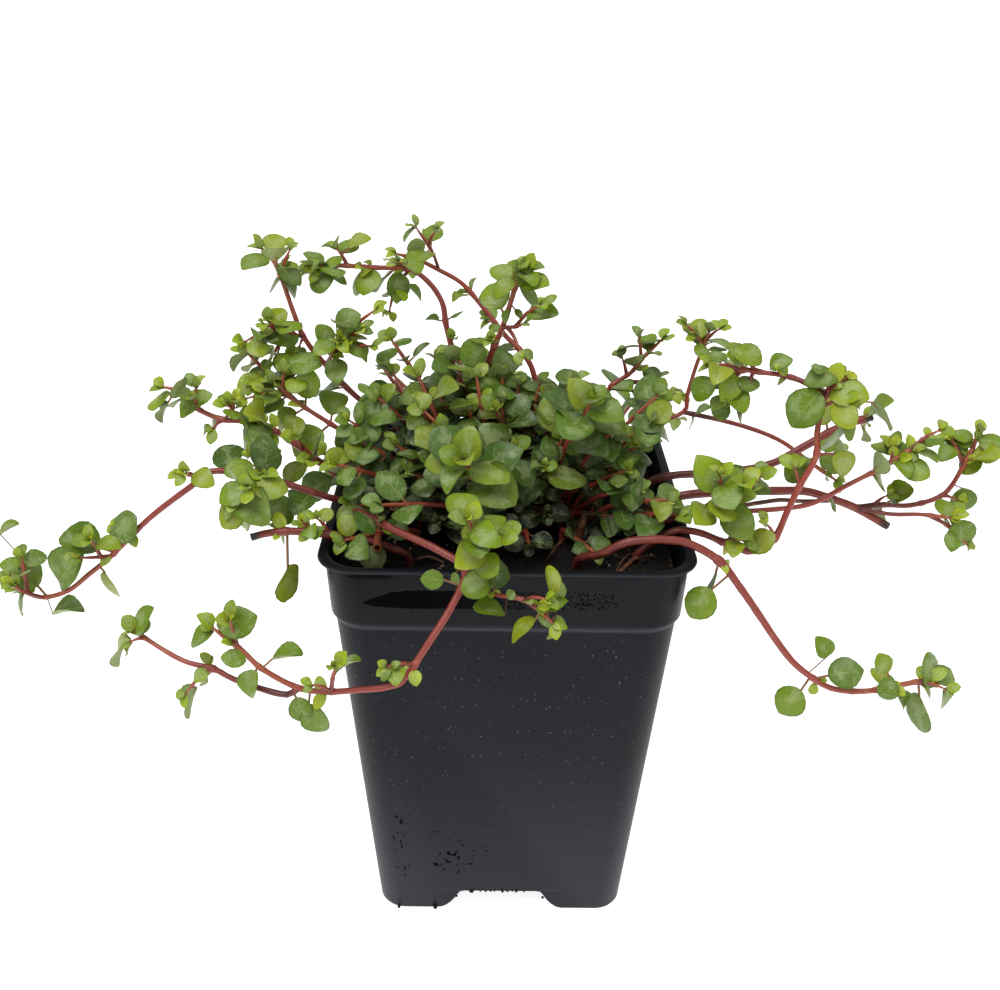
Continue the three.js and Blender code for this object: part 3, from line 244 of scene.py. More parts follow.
# Stems whose course shows in the photograph, the same as in the solids, each with its root on the
# soil. A shoot is its route, its girth at both ends, its leaves and its tip. The route is the middle
# line from the root or fork up. A leaf is [place counted in route points, turn about the stem in
# degrees from upwards, blade length, stalk length], and grows a pair unless a fifth value says 1.
# A tip is [blade length, pairs crowded there].
SPRAYS = [
    Spray("spray_top_left", [-8, 0], [
        Shoot([[-11, 5, 133], [-25, 8, 142], [-43, 10, 153], [-54, 12, 164], [-60, 13, 172],
               [-63, 14, 180], [-67, 16, 192], [-71, 17, 197]],
              [1.5, 0.8], [[1.6, 90, 9, 2], [2.4, 0, 9, 3], [4.1, 90, 9, 2], [6, -70, 10, 4]], [8, 2]),
        Shoot([[-60, 13, 172], [-65, 9, 175], [-70, 6, 178]],
              [0.7, 0.6], [[1.2, 60, 7, 1]], [7, 1]),
        Shoot([[-54, 12, 164], [-51, 7, 169], [-49, 4, 174]],
              [0.7, 0.6], [[1, 0, 8, 2]], [7, 1]),
    ]),
    Spray("spray_left_crest", [-22, -4], [
        Shoot([[-32, -3, 138], [-50, -2, 150], [-60, -2, 157], [-67, -2, 163]],
              [1.3, 0.8], [[0.5, 0, 9, 3], [1.1, 80, 10, 3], [1.8, 10, 9, 3], [2.4, 80, 8, 2]], [9, 2]),
        Shoot([[-60, -2, 157], [-69, 3, 164], [-76, 6, 170]],
              [0.8, 0.6], [[1, 70, 8, 2], [1.5, 0, 7, 1]], [7, 1]),
    ]),
    Spray("spray_arch", [-6, 18], [
        Shoot([[-9, 20, 134], [-15, 24, 152], [-17, 26, 164], [-19, 28, 172], [-20, 29, 178],
               [-24, 30, 184], [-30, 30, 188], [-41, 28, 189], [-50, 26, 190], [-58, 24, 190]],
              [1.5, 0.8], [[1.2, 80, 8, 2], [3.1, 60, 5, 2], [6.4, 170, 10, 3], [6.9, 80, 8, 1],
               [7.2, 0, 8, 2], [8.2, 180, 9, 2, 1], [8.6, 60, 7, 1]], [8, 2]),
        Shoot([[-30, 30, 188], [-34, 28, 183], [-36, 27, 176]],
              [0.7, 0.6], [[1, 90, 6, 1]], [5, 1]),
    ]),
    Spray("spray_back_arch", [12, 30], [
        Shoot([[12, 34, 134], [8, 40, 154], [-1, 46, 163], [-9, 50, 172], [-15, 52, 178], [-22, 52, 182],
               [-29, 50, 186], [-35, 48, 188]],
              [1.4, 0.8], [[0.6, 60, 9, 2], [1.5, 100, 8, 2], [3.4, 80, 6, 2], [6, 180, 7, 1]], [7, 1]),
        Shoot([[-22, 52, 182], [-24, 51, 188], [-27, 50, 193], [-29, 50, 196]],
              [0.7, 0.6], [[1.2, 90, 9, 3]], [7, 1]),
    ]),
    Spray("spray_top_middle", [-10, 10], [
        Shoot([[-12, 10, 136], [-11, 10, 153], [-7, 8, 163], [-5, 7, 170], [-2, 6, 178], [1, 4, 189],
               [2, 3, 195]],
              [1.5, 0.9], [[1.2, 90, 10, 2], [2.1, 0, 10, 2], [3.3, 100, 11, 5], [4.3, 90, 11, 3],
               [5.2, 90, 10, 2], [5.2, 0, 9, 2]], [9, 2]),
        Shoot([[-2, 6, 178], [2, 1, 180], [4, -2, 182]],
              [0.7, 0.6], [], [6, 1]),
    ]),
    Spray("spray_left", [-30, -2], [
        Shoot([[-33, -6, 131], [-46, -10, 137], [-52, -12, 142], [-58, -12, 147], [-66, -12, 153],
               [-73, -11, 155], [-80, -10, 155], [-87, -8, 157], [-94, -6, 162], [-97, -6, 163]],
              [1.4, 0.8], [[1.4, 0, 9, 2], [2.4, 170, 9, 3], [3.3, 80, 9, 2], [4.2, 10, 10, 2],
               [4.6, 170, 8, 2], [6.2, 180, 8, 1, 1], [7.6, 170, 8, 2], [8, 20, 9, 2]], [7, 1]),
        Shoot([[-80, -10, 155], [-77, -12, 159], [-76, -13, 162]],
              [0.7, 0.6], [], [6, 1]),
    ]),
    Spray("spray_far_left", [-36, -12], [
        Shoot([[-41, -16, 132], [-50, -22, 137], [-66, -25, 144], [-80, -27, 147], [-86, -28, 143],
               [-98, -30, 134], [-110, -30, 122], [-117, -30, 116], [-124, -29, 110], [-132, -28, 107],
               [-138, -26, 108], [-142, -25, 112]],
              [1.4, 0.8], [[1.3, 90, 9, 2], [2, 10, 11, 2], [2.5, 90, 11, 3], [5.9, 10, 10, 4],
               [8.8, 20, 10, 4], [10.1, 170, 7, 1, 1]], [6, 1]),
        Shoot([[-66, -25, 144], [-70, -31, 143], [-73, -35, 142]],
              [0.8, 0.6], [[1, 0, 10, 2]], [10, 2]),
        Shoot([[-80, -27, 147], [-85, -30, 147], [-88, -31, 148]],
              [0.7, 0.6], [], [6, 1]),
        Shoot([[-110, -30, 122], [-114, -33, 123], [-117, -35, 124]],
              [0.7, 0.6], [], [7, 1]),
        Shoot([[-132, -28, 107], [-135, -32, 111], [-137, -34, 114]],
              [0.7, 0.6], [], [7, 1]),
    ]),
    Spray("spray_over_rim", [-40, -18], [
        Shoot([[-43, -25, 134], [-38, -35, 138], [-30, -43, 138], [-18, -52, 137], [-11, -57, 134],
               [-14, -62, 127], [-20, -68, 119], [-26, -72, 111], [-31, -73, 109], [-37, -74, 109],
               [-44, -75, 109], [-52, -75, 110], [-61, -74, 115], [-66, -72, 119], [-73, -70, 124]],
              [1.6, 0.8], [[1.5, 60, 8, 2], [4, 90, 9, 3], [7.2, 0, 5, 1, 1], [10, 20, 7, 3, 1],
               [11, 170, 10, 2, 1], [12.1, 10, 8, 3]], [9, 2]),
        Shoot([[-11, -57, 134], [-8, -58, 140], [-6, -60, 144]],
              [1, 0.7], [[0.8, 80, 9, 2]], [9, 2]),
        Shoot([[-11, -57, 134], [-6, -60, 130], [-1, -63, 130], [3, -64, 130], [7, -66, 129]],
              [0.9, 0.6], [[1.1, 170, 6, 2], [2.6, 100, 7, 2]], [8, 2]),
        Shoot([[-44, -75, 109], [-46, -77, 112], [-48, -78, 113]],
              [0.7, 0.6], [], [5, 1]),
        Shoot([[-52, -75, 110], [-56, -75, 108], [-68, -72, 110], [-74, -70, 112], [-82, -68, 113],
               [-91, -64, 116], [-95, -62, 118]],
              [1.1, 0.7], [[3, 175, 7, 4]], [9, 2]),
    ]),
    Spray("spray_over_corner", [19, -36], [
        Shoot([[20, -39, 128], [25, -42, 131], [31, -43, 135], [37, -43, 136], [42, -43, 136],
               [48, -43, 135], [56, -45, 131], [62, -47, 124], [68, -49, 116], [73, -50, 109],
               [78, -51, 103], [84, -51, 98], [89, -51, 95], [95, -51, 94], [102, -49, 93], [111, -46, 93],
               [118, -45, 94]],
              [1.7, 0.9], [[6, 175, 10, 6, 1], [6, 5, 8, 4, 1], [11, 170, 10, 4], [13, 20, 10, 2, 1],
               [14.3, 10, 9, 1], [14.3, 90, 8, 1], [15.8, 170, 10, 3]], [9, 2]),
    ]),
    Spray("spray_riser", [36, -30], [
        Shoot([[40, -30, 128], [46, -30, 132], [53, -31, 132], [61, -32, 129], [68, -32, 127],
               [74, -30, 130], [77, -28, 137], [80, -26, 144], [84, -24, 152], [84, -22, 159],
               [85, -20, 167], [87, -18, 171]],
              [1.4, 1], [[3.7, 0, 8, 1], [5, 10, 7, 3, 1], [8.2, 90, 11, 3], [10.2, 80, 11, 3],
               [10.5, 0, 10, 3]], [10, 2]),
        Shoot([[85, -20, 169], [80, -16, 171], [75, -14, 172], [70, -12, 172], [65, -10, 172],
               [61, -8, 170]],
              [1.1, 0.8], [[1.6, 10, 7, 2, 1], [3.2, 0, 10, 2, 1], [4, 170, 8, 2]], [9, 2]),
    ]),
    Spray("stem_cut_right", [38, 0], [
        Shoot([[42, 0, 132], [50, 0, 135], [64, 0, 136], [78, 0, 139], [88, 2, 144], [99, 4, 150],
               [108, 6, 152]],
              [1.6, 1.5], [[4.6, 170, 9, 3], [5.6, 10, 8, 4]]),
    ]),
    Spray("spray_right_crest", [30, 14], [
        Shoot([[33, 16, 132], [42, 17, 142], [54, 18, 148], [55, 19, 153], [57, 20, 162], [60, 20, 173]],
              [1.3, 0.7], [[1.1, 0, 9, 2], [4.5, 90, 6, 2]], [8, 2]),
        Shoot([[54, 18, 148], [59, 18, 147], [68, 18, 145], [77, 16, 143], [85, 14, 140], [94, 12, 134],
               [101, 9, 130]],
              [1, 0.8], [[0.7, 10, 5, 1], [5.4, 80, 6, 2]], [7, 1]),
    ]),
    Spray("spray_far_right", [37, -14], [
        Shoot([[41, -14, 131], [50, -14, 135], [64, -13, 136], [77, -12, 136], [86, -12, 136],
               [93, -12, 134], [101, -12, 131], [111, -14, 126]],
              [1.9, 1.5], [[1.8, 10, 8, 2]]),
        Shoot([[101, -12, 131], [110, -10, 131], [119, -8, 130], [129, -6, 133], [134, -4, 142],
               [137, -2, 148]],
              [1.1, 0.8], [[1, 10, 8, 3], [2.3, 80, 6, 2], [4.1, 80, 8, 3]], [8, 2]),
        Shoot([[101, -12, 131], [110, -16, 131], [118, -18, 132], [126, -20, 132]],
              [0.9, 0.7], [[2.4, 10, 7, 1], [2.8, 80, 8, 1]], [8, 2]),
    ]),
    Spray("spray_right_low", [34, -21], [
        Shoot([[38, -22, 128], [45, -22, 131], [52, -22, 133], [62, -22, 134], [75, -22, 135],
               [86, -20, 136], [96, -18, 141], [106, -16, 146], [112, -15, 150], [116, -14, 152]],
              [1.1, 0.8], [[5.4, 170, 6, 2], [6.6, 10, 8, 2], [7.4, 80, 9, 2], [8, 0, 9, 2]], [8, 2]),
        Shoot([[52, -22, 133], [56, -27, 139], [60, -31, 144]],
              [1, 0.7], [[0.9, 80, 10, 3], [1.4, 0, 11, 3]], [11, 2]),
    ]),
    Spray("spray_right_back", [22, 20], [
        Shoot([[25, 22, 134], [31, 24, 152], [38, 25, 158], [42, 26, 163], [47, 27, 168]],
              [1.2, 0.7], [[1.2, 80, 9, 2], [2.2, 10, 7, 2], [3.2, 80, 6, 1]], [7, 1]),
    ]),
    Spray("stem_cut_left", [-27, -33], [
        Shoot([[-30, -34, 127], [-41, -35, 131], [-56, -37, 134], [-64, -38, 134], [-69, -39, 133]],
              [1.6, 1.3], [[1.9, 175, 9, 6, 1], [2.4, 0, 5, 1]]),
    ]),
    Spray("spray_back_left", [-30, 30], [
        Shoot([[-32, 36, 131], [-36, 45, 135], [-40, 54, 136], [-44, 63, 131], [-46, 70, 122],
               [-47, 74, 112]],
              [1.4, 0.8], [[0.6, 20, 9, 2], [1.8, 90, 9, 2], [3, 0, 9, 3], [4, 90, 8, 2]], [8, 2]),
    ]),
    Spray("spray_back_middle", [-4, 37], [
        Shoot([[-3, 41, 131], [-2, 48, 136], [0, 56, 137], [1, 64, 134], [3, 71, 128], [6, 75, 120]],
              [1.4, 0.8], [[0.8, 0, 9, 2], [2, 90, 9, 2], [3.1, 10, 9, 3], [4.1, 80, 8, 2]], [8, 2]),
    ]),
    Spray("spray_back_right", [30, 33], [
        Shoot([[33, 37, 131], [38, 45, 135], [43, 54, 137], [48, 61, 135], [54, 67, 130], [61, 71, 124]],
              [1.4, 0.8], [[0.7, 10, 9, 2], [1.8, 90, 9, 2], [3, 0, 9, 3], [4, 80, 8, 2]], [8, 2]),
    ]),
]

# Leafy tips of short side stems, as [x, y, z, blade length, pairs], under the stem that bears them
TWIGS = [
    ("spray_top_left", [[-65, 16, 192, 10.5, 1], [-63, 16, 197, 8, 1], [-68, 5, 179, 9, 2],
        [-75, 2, 174, 8, 2], [-69, 4, 168, 9.5, 2], [-61, 10, 170, 10, 1], [-48, 1, 175, 9, 2],
        [-38, 1, 184, 9.5, 1], [-42, 1, 178, 9.5, 1], [-39, 0, 174, 7, 1]]),
    ("spray_left_crest", [[-72, 0, 162, 9.5, 2], [-64, -1, 166, 8.5, 2], [-74, -6, 160, 8, 1]]),
    ("spray_arch", [[-56, 21, 190, 9, 2], [-51, 26, 195, 8, 2], [-33, 27, 191, 8, 2],
        [-17, 25, 168, 6.5, 2]]),
    ("spray_back_arch", [[-23, 49, 195, 8.5, 1], [-6, 46, 167, 7, 2], [-31, 47, 184, 8, 1]]),
    ("spray_top_middle", [[5, 3, 196, 8.5, 2], [8, -5, 188, 11, 1], [-5, 4, 175, 8, 2],
        [3, -2, 174, 8, 1]]),
    ("spray_left", [[-88, -6, 163, 9.5, 1], [-88, -10, 161, 10, 1], [-83, -11, 153, 9, 1],
        [-70, -14, 157, 10, 2], [-70, -17, 152, 8.5, 2], [-59, -16, 152, 9, 1], [-78, -13, 161, 7.5, 2],
        [-55, -17, 146, 9.5, 1]]),
    ("spray_far_left", [[-86, -33, 149, 8, 2], [-70, -24, 150, 8.5, 2], [-69, -37, 147, 10.5, 2],
        [-66, -30, 147, 11, 1], [-113, -36, 130, 8, 2], [-107, -29, 131, 8, 1], [-136, -28, 120, 8, 2],
        [-139, -28, 111, 7.5, 2]]),
    ("stem_cut_left", [[-55, -39, 138, 5.5, 2], [-51, -37, 138, 6, 2]]),
    ("spray_over_rim", [[-68, -73, 128, 10, 1], [-42, -79, 119, 9, 1], [-30, -74, 116, 6.5, 2],
        [-81, -72, 106, 8, 1], [-96, -64, 116, 8.5, 2], [-10, -62, 151, 11, 2], [-2, -61, 146, 12, 1],
        [9, -69, 133, 8, 2], [11, -69, 126, 8.5, 1]]),
    ("spray_over_corner", [[106, -50, 95, 9, 1], [122, -48, 93, 9, 2]]),
    ("spray_riser", [[64, -10, 176, 9.5, 1], [56, -9, 173, 9, 2], [60, -10, 164, 9, 2],
        [66, -11, 164, 9, 1], [91, -18, 173, 10, 2], [90, -22, 168, 11, 2], [79, -23, 148, 10.5, 1],
        [64, -35, 132, 8.5, 2], [71, -31, 135, 7.5, 1]]),
    ("spray_right_crest", [[53, 20, 175, 8, 1], [63, 20, 174, 8, 1], [56, 18, 172, 8, 2],
        [100, 11, 138, 9, 2]]),
    ("spray_far_right", [[137, -2, 151, 9, 2], [129, -3, 149, 8.5, 2], [132, -8, 132, 8, 1],
        [110, -12, 135, 8.5, 1], [132, -21, 124, 8, 1]]),
    ("spray_right_low", [[108, -14, 151, 9, 1], [111, -16, 148, 8.5, 2], [121, -13, 156, 8, 1],
        [57, -31, 149, 11, 2], [63, -33, 148, 12, 1], [70, -22, 145, 10, 1]]),
    ("spray_right_back", [[40, 26, 169, 8, 2], [35, 25, 163, 8, 1], [50, 22, 153, 10, 1],
        [48, 21, 149, 9, 2], [54, 28, 150, 9, 1]]),
]

# Leafy tips of the clump that show in the photograph, written the same way
TIPS = [[-12, -41, 157, 12.5, 3], [22, -22, 166, 12, 3], [-37, -4, 160, 8, 3], [-45, -9, 155, 8.5, 3],
    [-41, -13, 150, 8, 2], [-31, -13, 149, 8, 2], [-23, -12, 150, 8, 2], [-26, -21, 144, 10, 2],
    [-37, -16, 138, 7, 2], [-20, 3, 158, 8, 2], [-34, 11, 172, 7.5, 2], [-16, 10, 166, 10, 2],
    [-2, 4, 164, 9, 2], [0, -10, 150, 11, 1], [-2, -3, 158, 8, 2], [11, -4, 160, 9, 2],
    [15, -14, 152, 9, 2], [29, -13, 154, 8, 2], [36, -12, 149, 8, 2], [42, -5, 162, 9, 2],
    [40, -11, 156, 8, 2], [18, -9, 168, 7.5, 2], [9, -2, 164, 6.5, 2], [21, -13, 136, 8.5, 1],
    [6, -32, 128, 6.5, 2], [24, -34, 127, 6, 2], [32, -21, 131, 7, 2], [38, -22, 131, 6, 2],
    [47, -28, 136, 10, 1], [44, -27, 140, 7, 2], [37, -21, 140, 7, 2], [11, -21, 132, 6.5, 2],
    [-8, -25, 138, 8, 2], [-19, -27, 133, 8, 2], [-43, -25, 136, 8, 2], [-44, -38, 132, 8, 2],
    [6, -5, 148, 8, 2], [9, -16, 142, 7, 2], [15, -13, 142, 8, 2], [33, -19, 145, 7, 2],
    [-47, -24, 148, 8, 2], [-11, -8, 158, 8, 2], [-25, -3, 156, 8, 2], [3, 2, 162, 8, 2]]

# Single leaves that show in the photograph, under the stem that bears them: the foot and the tip of
# the blade, and its roll in degrees
LONE_LEAVES = [
    ("spray_riser", [
        [88.2, -19, 173, 79.4, -19, 172.3, 15], [88.8, -18, 172.3, 95.3, -18, 170.7, -10],
        [69.2, -11.7, 175, 60.6, -11.7, 178, -5], [91.3, -21.9, 162.9, 87.7, -21.9, 151.5, -70],
        [91.7, -20.9, 162.2, 95.3, -20.9, 156, -15], [99.3, -18, 166.1, 106.2, -18, 158.8, -70],
        [84.8, -19.3, 148.8, 77.4, -18.3, 143, -5], [84.7, -18, 174.6, 81.2, -18, 176.5, 15],
        [66.6, -10.6, 165.1, 63.9, -10.6, 156.4, 55], [71.2, -13.4, 173.6, 76.8, -13.4, 177.1, 0],
        [69.2, -12.5, 168.3, 62.8, -11.5, 170.1, 0], [56.5, -8.8, 169, 51.9, -10.8, 163.2, 0],
        [57.2, -8.8, 161.3, 62.5, -9.8, 157.8, 30], [88.5, -24.5, 153, 94.9, -24.5, 148, 20],
        [83.7, -20.2, 169.9, 76.3, -22.2, 160.5, 0]]),
    ("spray_top_middle", [
        [2.3, 3, 195.7, 7.3, 4, 198, 35], [1.2, 1.1, 195, 6.2, 0.1, 192.8, 0],
        [1.2, 1.4, 193.2, -5.4, -0.6, 189.7, 5], [2.7, 3.6, 191, 8.4, 1.6, 185, -15],
        [1.5, 3.9, 184.2, 3.8, 2.9, 181.9, 0], [0.3, 3.9, 183.9, -2.1, 2.9, 180.7, 20],
        [-8.9, 5.9, 174.8, -12, 3.9, 166.7, 0], [4.7, -2.8, 184.3, 12.8, -4.8, 187, 0]]),
    ("spray_over_corner", [
        [87.2, -51, 105.7, 83.2, -51, 111.1, -25], [105.2, -49.3, 98, 105.1, -51.3, 91.1, 15],
        [104.7, -49.3, 99, 101.9, -49.3, 104.8, -10], [109.4, -46.9, 90.3, 113.2, -46.9, 85.6, -20],
        [116.1, -45.4, 89.4, 116.6, -46.4, 76.7, 85], [120.4, -45, 91.5, 117.8, -44, 101.8, 30],
        [123.1, -45, 90.5, 124.9, -45, 83.7, -30], [54.5, -46.9, 123.5, 48.7, -47.9, 115, 0],
        [80.8, -51.8, 94.8, 74.9, -52.8, 87.4, 0]]),
    ("spray_over_rim", [
        [-95, -62.3, 117.4, -91.5, -62.3, 125.2, -30], [-97, -62, 116, -102.4, -62, 107.7, 45],
        [-73.2, -70, 123, -79.7, -70, 119.9, 20], [-58.2, -74.1, 118, -50.7, -74.1, 120.4, -45],
        [-79.2, -69.1, 105.8, -82.9, -69.1, 96.7, 50], [-42.5, -74.7, 115, -36.9, -74.7, 119.8, -85],
        [-16.3, -59.1, 132.3, -22.4, -59.1, 132.5, -20], [-4.4, -63.4, 133.8, -11.9, -64.4, 133.1, -10],
        [-0.8, -64.1, 125.3, -8.6, -64.1, 128.4, 50], [6.7, -67, 126, -0, -68, 120.9, 45],
        [12.2, -66, 126.6, 10.6, -67, 119.8, -70], [11, -66, 131.8, 9, -65, 139.7, -80],
        [12, -66, 130.4, 12.6, -65, 136.1, 50], [8.1, -66, 127.4, 9.8, -67, 122.8, 55],
        [-0.2, -64.1, 132.6, 1.3, -65.1, 130.3, 5], [-13.4, -56.3, 133.1, -13.4, -57.3, 129.5, 45],
        [-52.7, -75.8, 107.8, -50.5, -77.8, 101.4, 0], [-49.6, -75.8, 105.8, -46.6, -76.8, 97.3, 15],
        [-64.8, -73.7, 116.9, -70.3, -74.7, 119.3, 0], [-62.3, -74.5, 114.9, -65, -76.5, 107.6, 10],
        [-71.3, -71.1, 124.5, -62.7, -72.1, 129.3, 10], [-28.8, -76, 116.7, -31.7, -77, 114.4, 40],
        [-28.7, -75, 116.4, -26.7, -75, 118, 0]]),
    ("stem_cut_left", [
        [-59.7, -37.4, 123.9, -59.6, -37.4, 112.2, -65]]),
    ("spray_far_left", [
        [-142.2, -25, 125.7, -136.8, -25, 129.6, -30], [-129.9, -28.1, 101.6, -121.2, -28.1, 104.4, -40],
        [-126, -29.5, 113, -118.1, -31.5, 123.5, 0], [-112.5, -30.8, 117.2, -110.5, -30.8, 108.4, 55],
        [-135.2, -33.1, 111.1, -137.5, -34.1, 104.8, 40], [-71.7, -35.2, 141.8, -77, -37.2, 134.9, 0],
        [-66.6, -30.1, 139.9, -58.5, -32.1, 134.6, 0], [-109.4, -30.8, 128.6, -102, -31.8, 135.4, 0]]),
    ("spray_arch", [
        [-47.4, 26.6, 195.1, -41.4, 26.6, 199.1, 5], [-33.9, 28.6, 187.6, -32.7, 26.6, 178.9, 0],
        [-30.3, 28.1, 183.8, -25.8, 27.1, 179.8, 0], [-53, 24.3, 187.5, -47.8, 24.3, 185.8, 0]]),
    ("spray_left", [
        [-96.2, -6.8, 158.9, -99.6, -6.8, 153, 35], [-87.9, -8.5, 158.8, -83.4, -9.5, 162.8, 0],
        [-87.4, -8.5, 158.5, -93, -9.5, 156.1, 0]]),
    ("spray_left_crest", [
        [-74.4, 4.8, 170, -80.5, 4.8, 165.1, 40], [-63.1, 1.5, 168.3, -53.5, -1.5, 169.5, 0]]),
    ("spray_far_right", [
        [128.2, -20.8, 131.8, 131.5, -21.8, 123, 20], [133.8, -5.9, 134.8, 136.1, -6.9, 127.1, 30],
        [138.5, -3.7, 143.8, 132.8, -4.7, 139.4, 0]]),
    ("spray_top_left", [
        [-66.8, 15.3, 193, -59.4, 13.3, 188.7, 0], [-66.3, 14.9, 191.4, -61.2, 15.9, 183.2, 0],
        [-66.1, 14.6, 189.1, -70.1, 15.6, 184.6, 0], [-49.1, 3.2, 178.7, -42.6, 2.2, 182.6, 35]]),
    ("spray_back_arch", [
        [-29.3, 49.2, 196.3, -33.3, 47.2, 192.3, 0]]),
]

# Middles of leaves that the rule grows where the photograph shows none
BARE_SPOTS = [
    [-105, -26, 116], [-131, -28, 99], [83, -49, 89], [-10, 13, 178], [-91, -58, 118], [-77, -33, 145],
    [78, -21, 157], [115, -40, 95], [-93, -5, 169], [-28, 11, 163], [3, -1, 174], [-60, -36, 125],
    [67, -32, 122], [-58, 17, 177], [5, 48, 162], [110, -17, 156], [113, -10, 153], [-63, -18, 148],
    [-62, -76, 122], [-43, 31, 191], [123, -18, 128], [125, -21, 128], [123, -24, 131], [123, -20, 136],
    [128, -10, 129], [-97, -67, 116], [60, -51, 135], [76, -14, 177],
    [102.4, -19.3, 163], [-89.2, -30.3, 149.6], [-62.2, 22.2, 195.4], [115.9, -10.3, 155.8],
    [-36.8, 24, 194.4], [92, -18.1, 175.8], [-72, 7.2, 177.9], [-76.4, 5.5, 174.7], [-0.5, 3.3, 174.5],
    [11.8, 1.3, 162.6], [-28.2, 37.2, 149.2], [59.3, 75.2, 126.5], [124.4, -11.5, 129],
    [60.4, 66, 123.3], [-10.3, 53.9, 178.2], [90.2, -20.4, 142.4], [117.2, -13.9, 154.5],
    [76.3, -31.7, 131.8], [96.9, 6, 131.3], [-5.3, 29.8, 163.3], [122.7, -2.9, 131.4],
    [-45, 7.9, 164.2], [-39.9, 14.6, 162.6], [-15.1, 28.6, 167], [67.2, -11.7, 161.9],
    [132.6, -22.3, 122.2], [-33.2, 8.8, 165.9],
    [82, -15.2, 170], [79.7, -17.9, 173.4], [82.9, -22.6, 176], [92.3, -22.5, 156], [65.2, -8, 166.4],
    [66.3, -13.9, 178.1], [-0.8, 9.5, 194], [-3, 0, 193.1], [7, 2.4, 191.9], [0.8, -3.5, 187.9],
    [9.8, -1.4, 183.7], [2.9, -1.6, 181], [99.8, -53.3, 99.4], [107.8, -51.5, 90.8],
    [106.7, -49.7, 97.8], [118.5, -44.8, 101.2], [118.3, -49.3, 91.8], [106, -45, 89],
    [-93.5, -67.7, 115.3], [-40.9, -80.9, 113.7], [-45.7, -74.5, 115], [-77.5, -74.3, 116.9],
    [-73.9, -74.4, 121], [-55.2, -72, 104.8], [-67, -72.2, 112], [27.4, -16, 136.1], [29.3, -13.1, 134.8],
    [16.2, -4.7, 168.4], [17.1, -2.4, 163.7],
    [-4.6, -61, 124.6], [4.1, -60.5, 134.1], [4.2, -69.2, 127.2], [2.5, -66.4, 125.4], [5.1, -70.8, 132.5],
    [7.4, -66.2, 123.8], [10.1, -65.4, 134.1], [8, -61.4, 130.2], [-14.9, -61.4, 130.2],
    [74.1, -33.9, 135], [64.1, -30, 133.7], [-28.1, 14.8, 159.7], [16.1, -4.5, 167.8], [15.5, 37.9, 150.4],
    [-74.5, 7, 175.5], [-46.5, -73.7, 110.7], [112.8, -13.6, 152.9], [4, 79.1, 122.6], [50.6, 20.2, 149.2],
    [84.3, -51.3, 94.8], [-43.3, 25.9, 194.7], [-29.9, -70.4, 116.7], [-29.1, -74.6, 111.9]]

# Old bare stems in the clump, as a route and a girth
OLD_STEMS = [
    [[[-27, -31, 121.6], [-22, -30.5, 123.2], [-17.5, -31.5, 121.8]], 0.7],
    [[[10.5, -30.5, 121.6], [14.5, -23.5, 123.6], [19, -16.5, 124.2]], 0.75],
    [[[29, -39, 121.6], [35.5, -31.5, 123.8], [42, -27, 122]], 0.85],
    [[[29, -39.5, 121.8], [32, -32.5, 124], [37, -24.5, 122.4]], 0.32],
    [[[21, -8, 120], [13.5, -8, 128.5], [7, -8, 133.5]], 0.8],
    [[[21.5, -4, 120], [16, -4, 127.5], [11.5, -4, 134]], 0.9],
    [[[21.5, 0, 118], [18, 0, 126.5], [14, 0, 132.5]], 0.8],
    [[[20, -20, 118], [21, -20, 126], [22.5, -19, 132]], 1.7],
    [[[-14, -24, 121], [-8, -18, 125.5], [-5, -10, 128]], 0.7],
    [[[31, -14, 121], [34, -15, 127], [39, -18, 131]], 0.8],
    [[[61, -12, 135.4], [66.3, -12, 131.2], [72.5, -12, 132], [79.1, -12, 133.1], [84.9, -12, 132.8],
      [93.2, -12, 133]], 0.95]]

# Cut stubs, as their two ends
CUT_STUBS = [[[-36, -27, 129.6], [-35.1, -38.6, 130.2]], [[-32, -19.5, 133], [-31.5, -25, 135.7]]]

# Pale bits seen on the soil, as [x, y]
SEEN_BITS = [[-32, -20], [-27, -26.5], [41, -25.5], [38.5, -38.5], [17, -38], [28.5, -32], [-37, -36]]

# Crumbs at the pot's feet, as [x, y, z, size]
FOOT_BITS = [
    [-32.1, -38.2, 0.6, 0.5], [-20.6, -38.4, 1, 0.8], [-13.7, -38.6, 5.6, 0.5], [-9, -38.7, 8, 0.6],
    [-6.3, -38.7, 8, 0.3], [-4.6, -38.7, 7.9, 0.4], [-1.8, -38.7, 8, 0.35], [0.6, -38.7, 8, 0.6],
    [2.2, -38.7, 7.9, 0.3], [5, -38.7, 8, 0.4], [7.5, -38.7, 7.9, 0.3], [13.4, -38.6, 5.4, 0.45],
    [-3, -38.7, 7.9, 0.25], [3.8, -38.7, 7.9, 0.25]]


# Rule for routes, stems and leaves


def dice(seed):
    """Random numbers that are the same on every run."""
    state = [seed]

    def roll(spread):
        state[0] = state[0] * DICE_STEP % DICE_RANGE
        return (state[0] / (DICE_RANGE / 2) - 1) * spread

    return roll


chance = dice(LEAF_SEED)
whim = dice(FINE_SEED)


def unit(v):
    return v / np.linalg.norm(v)


def square_to(v, line):
    """The part of v that is square to the unit vector line."""
    return v - line * (v @ line)


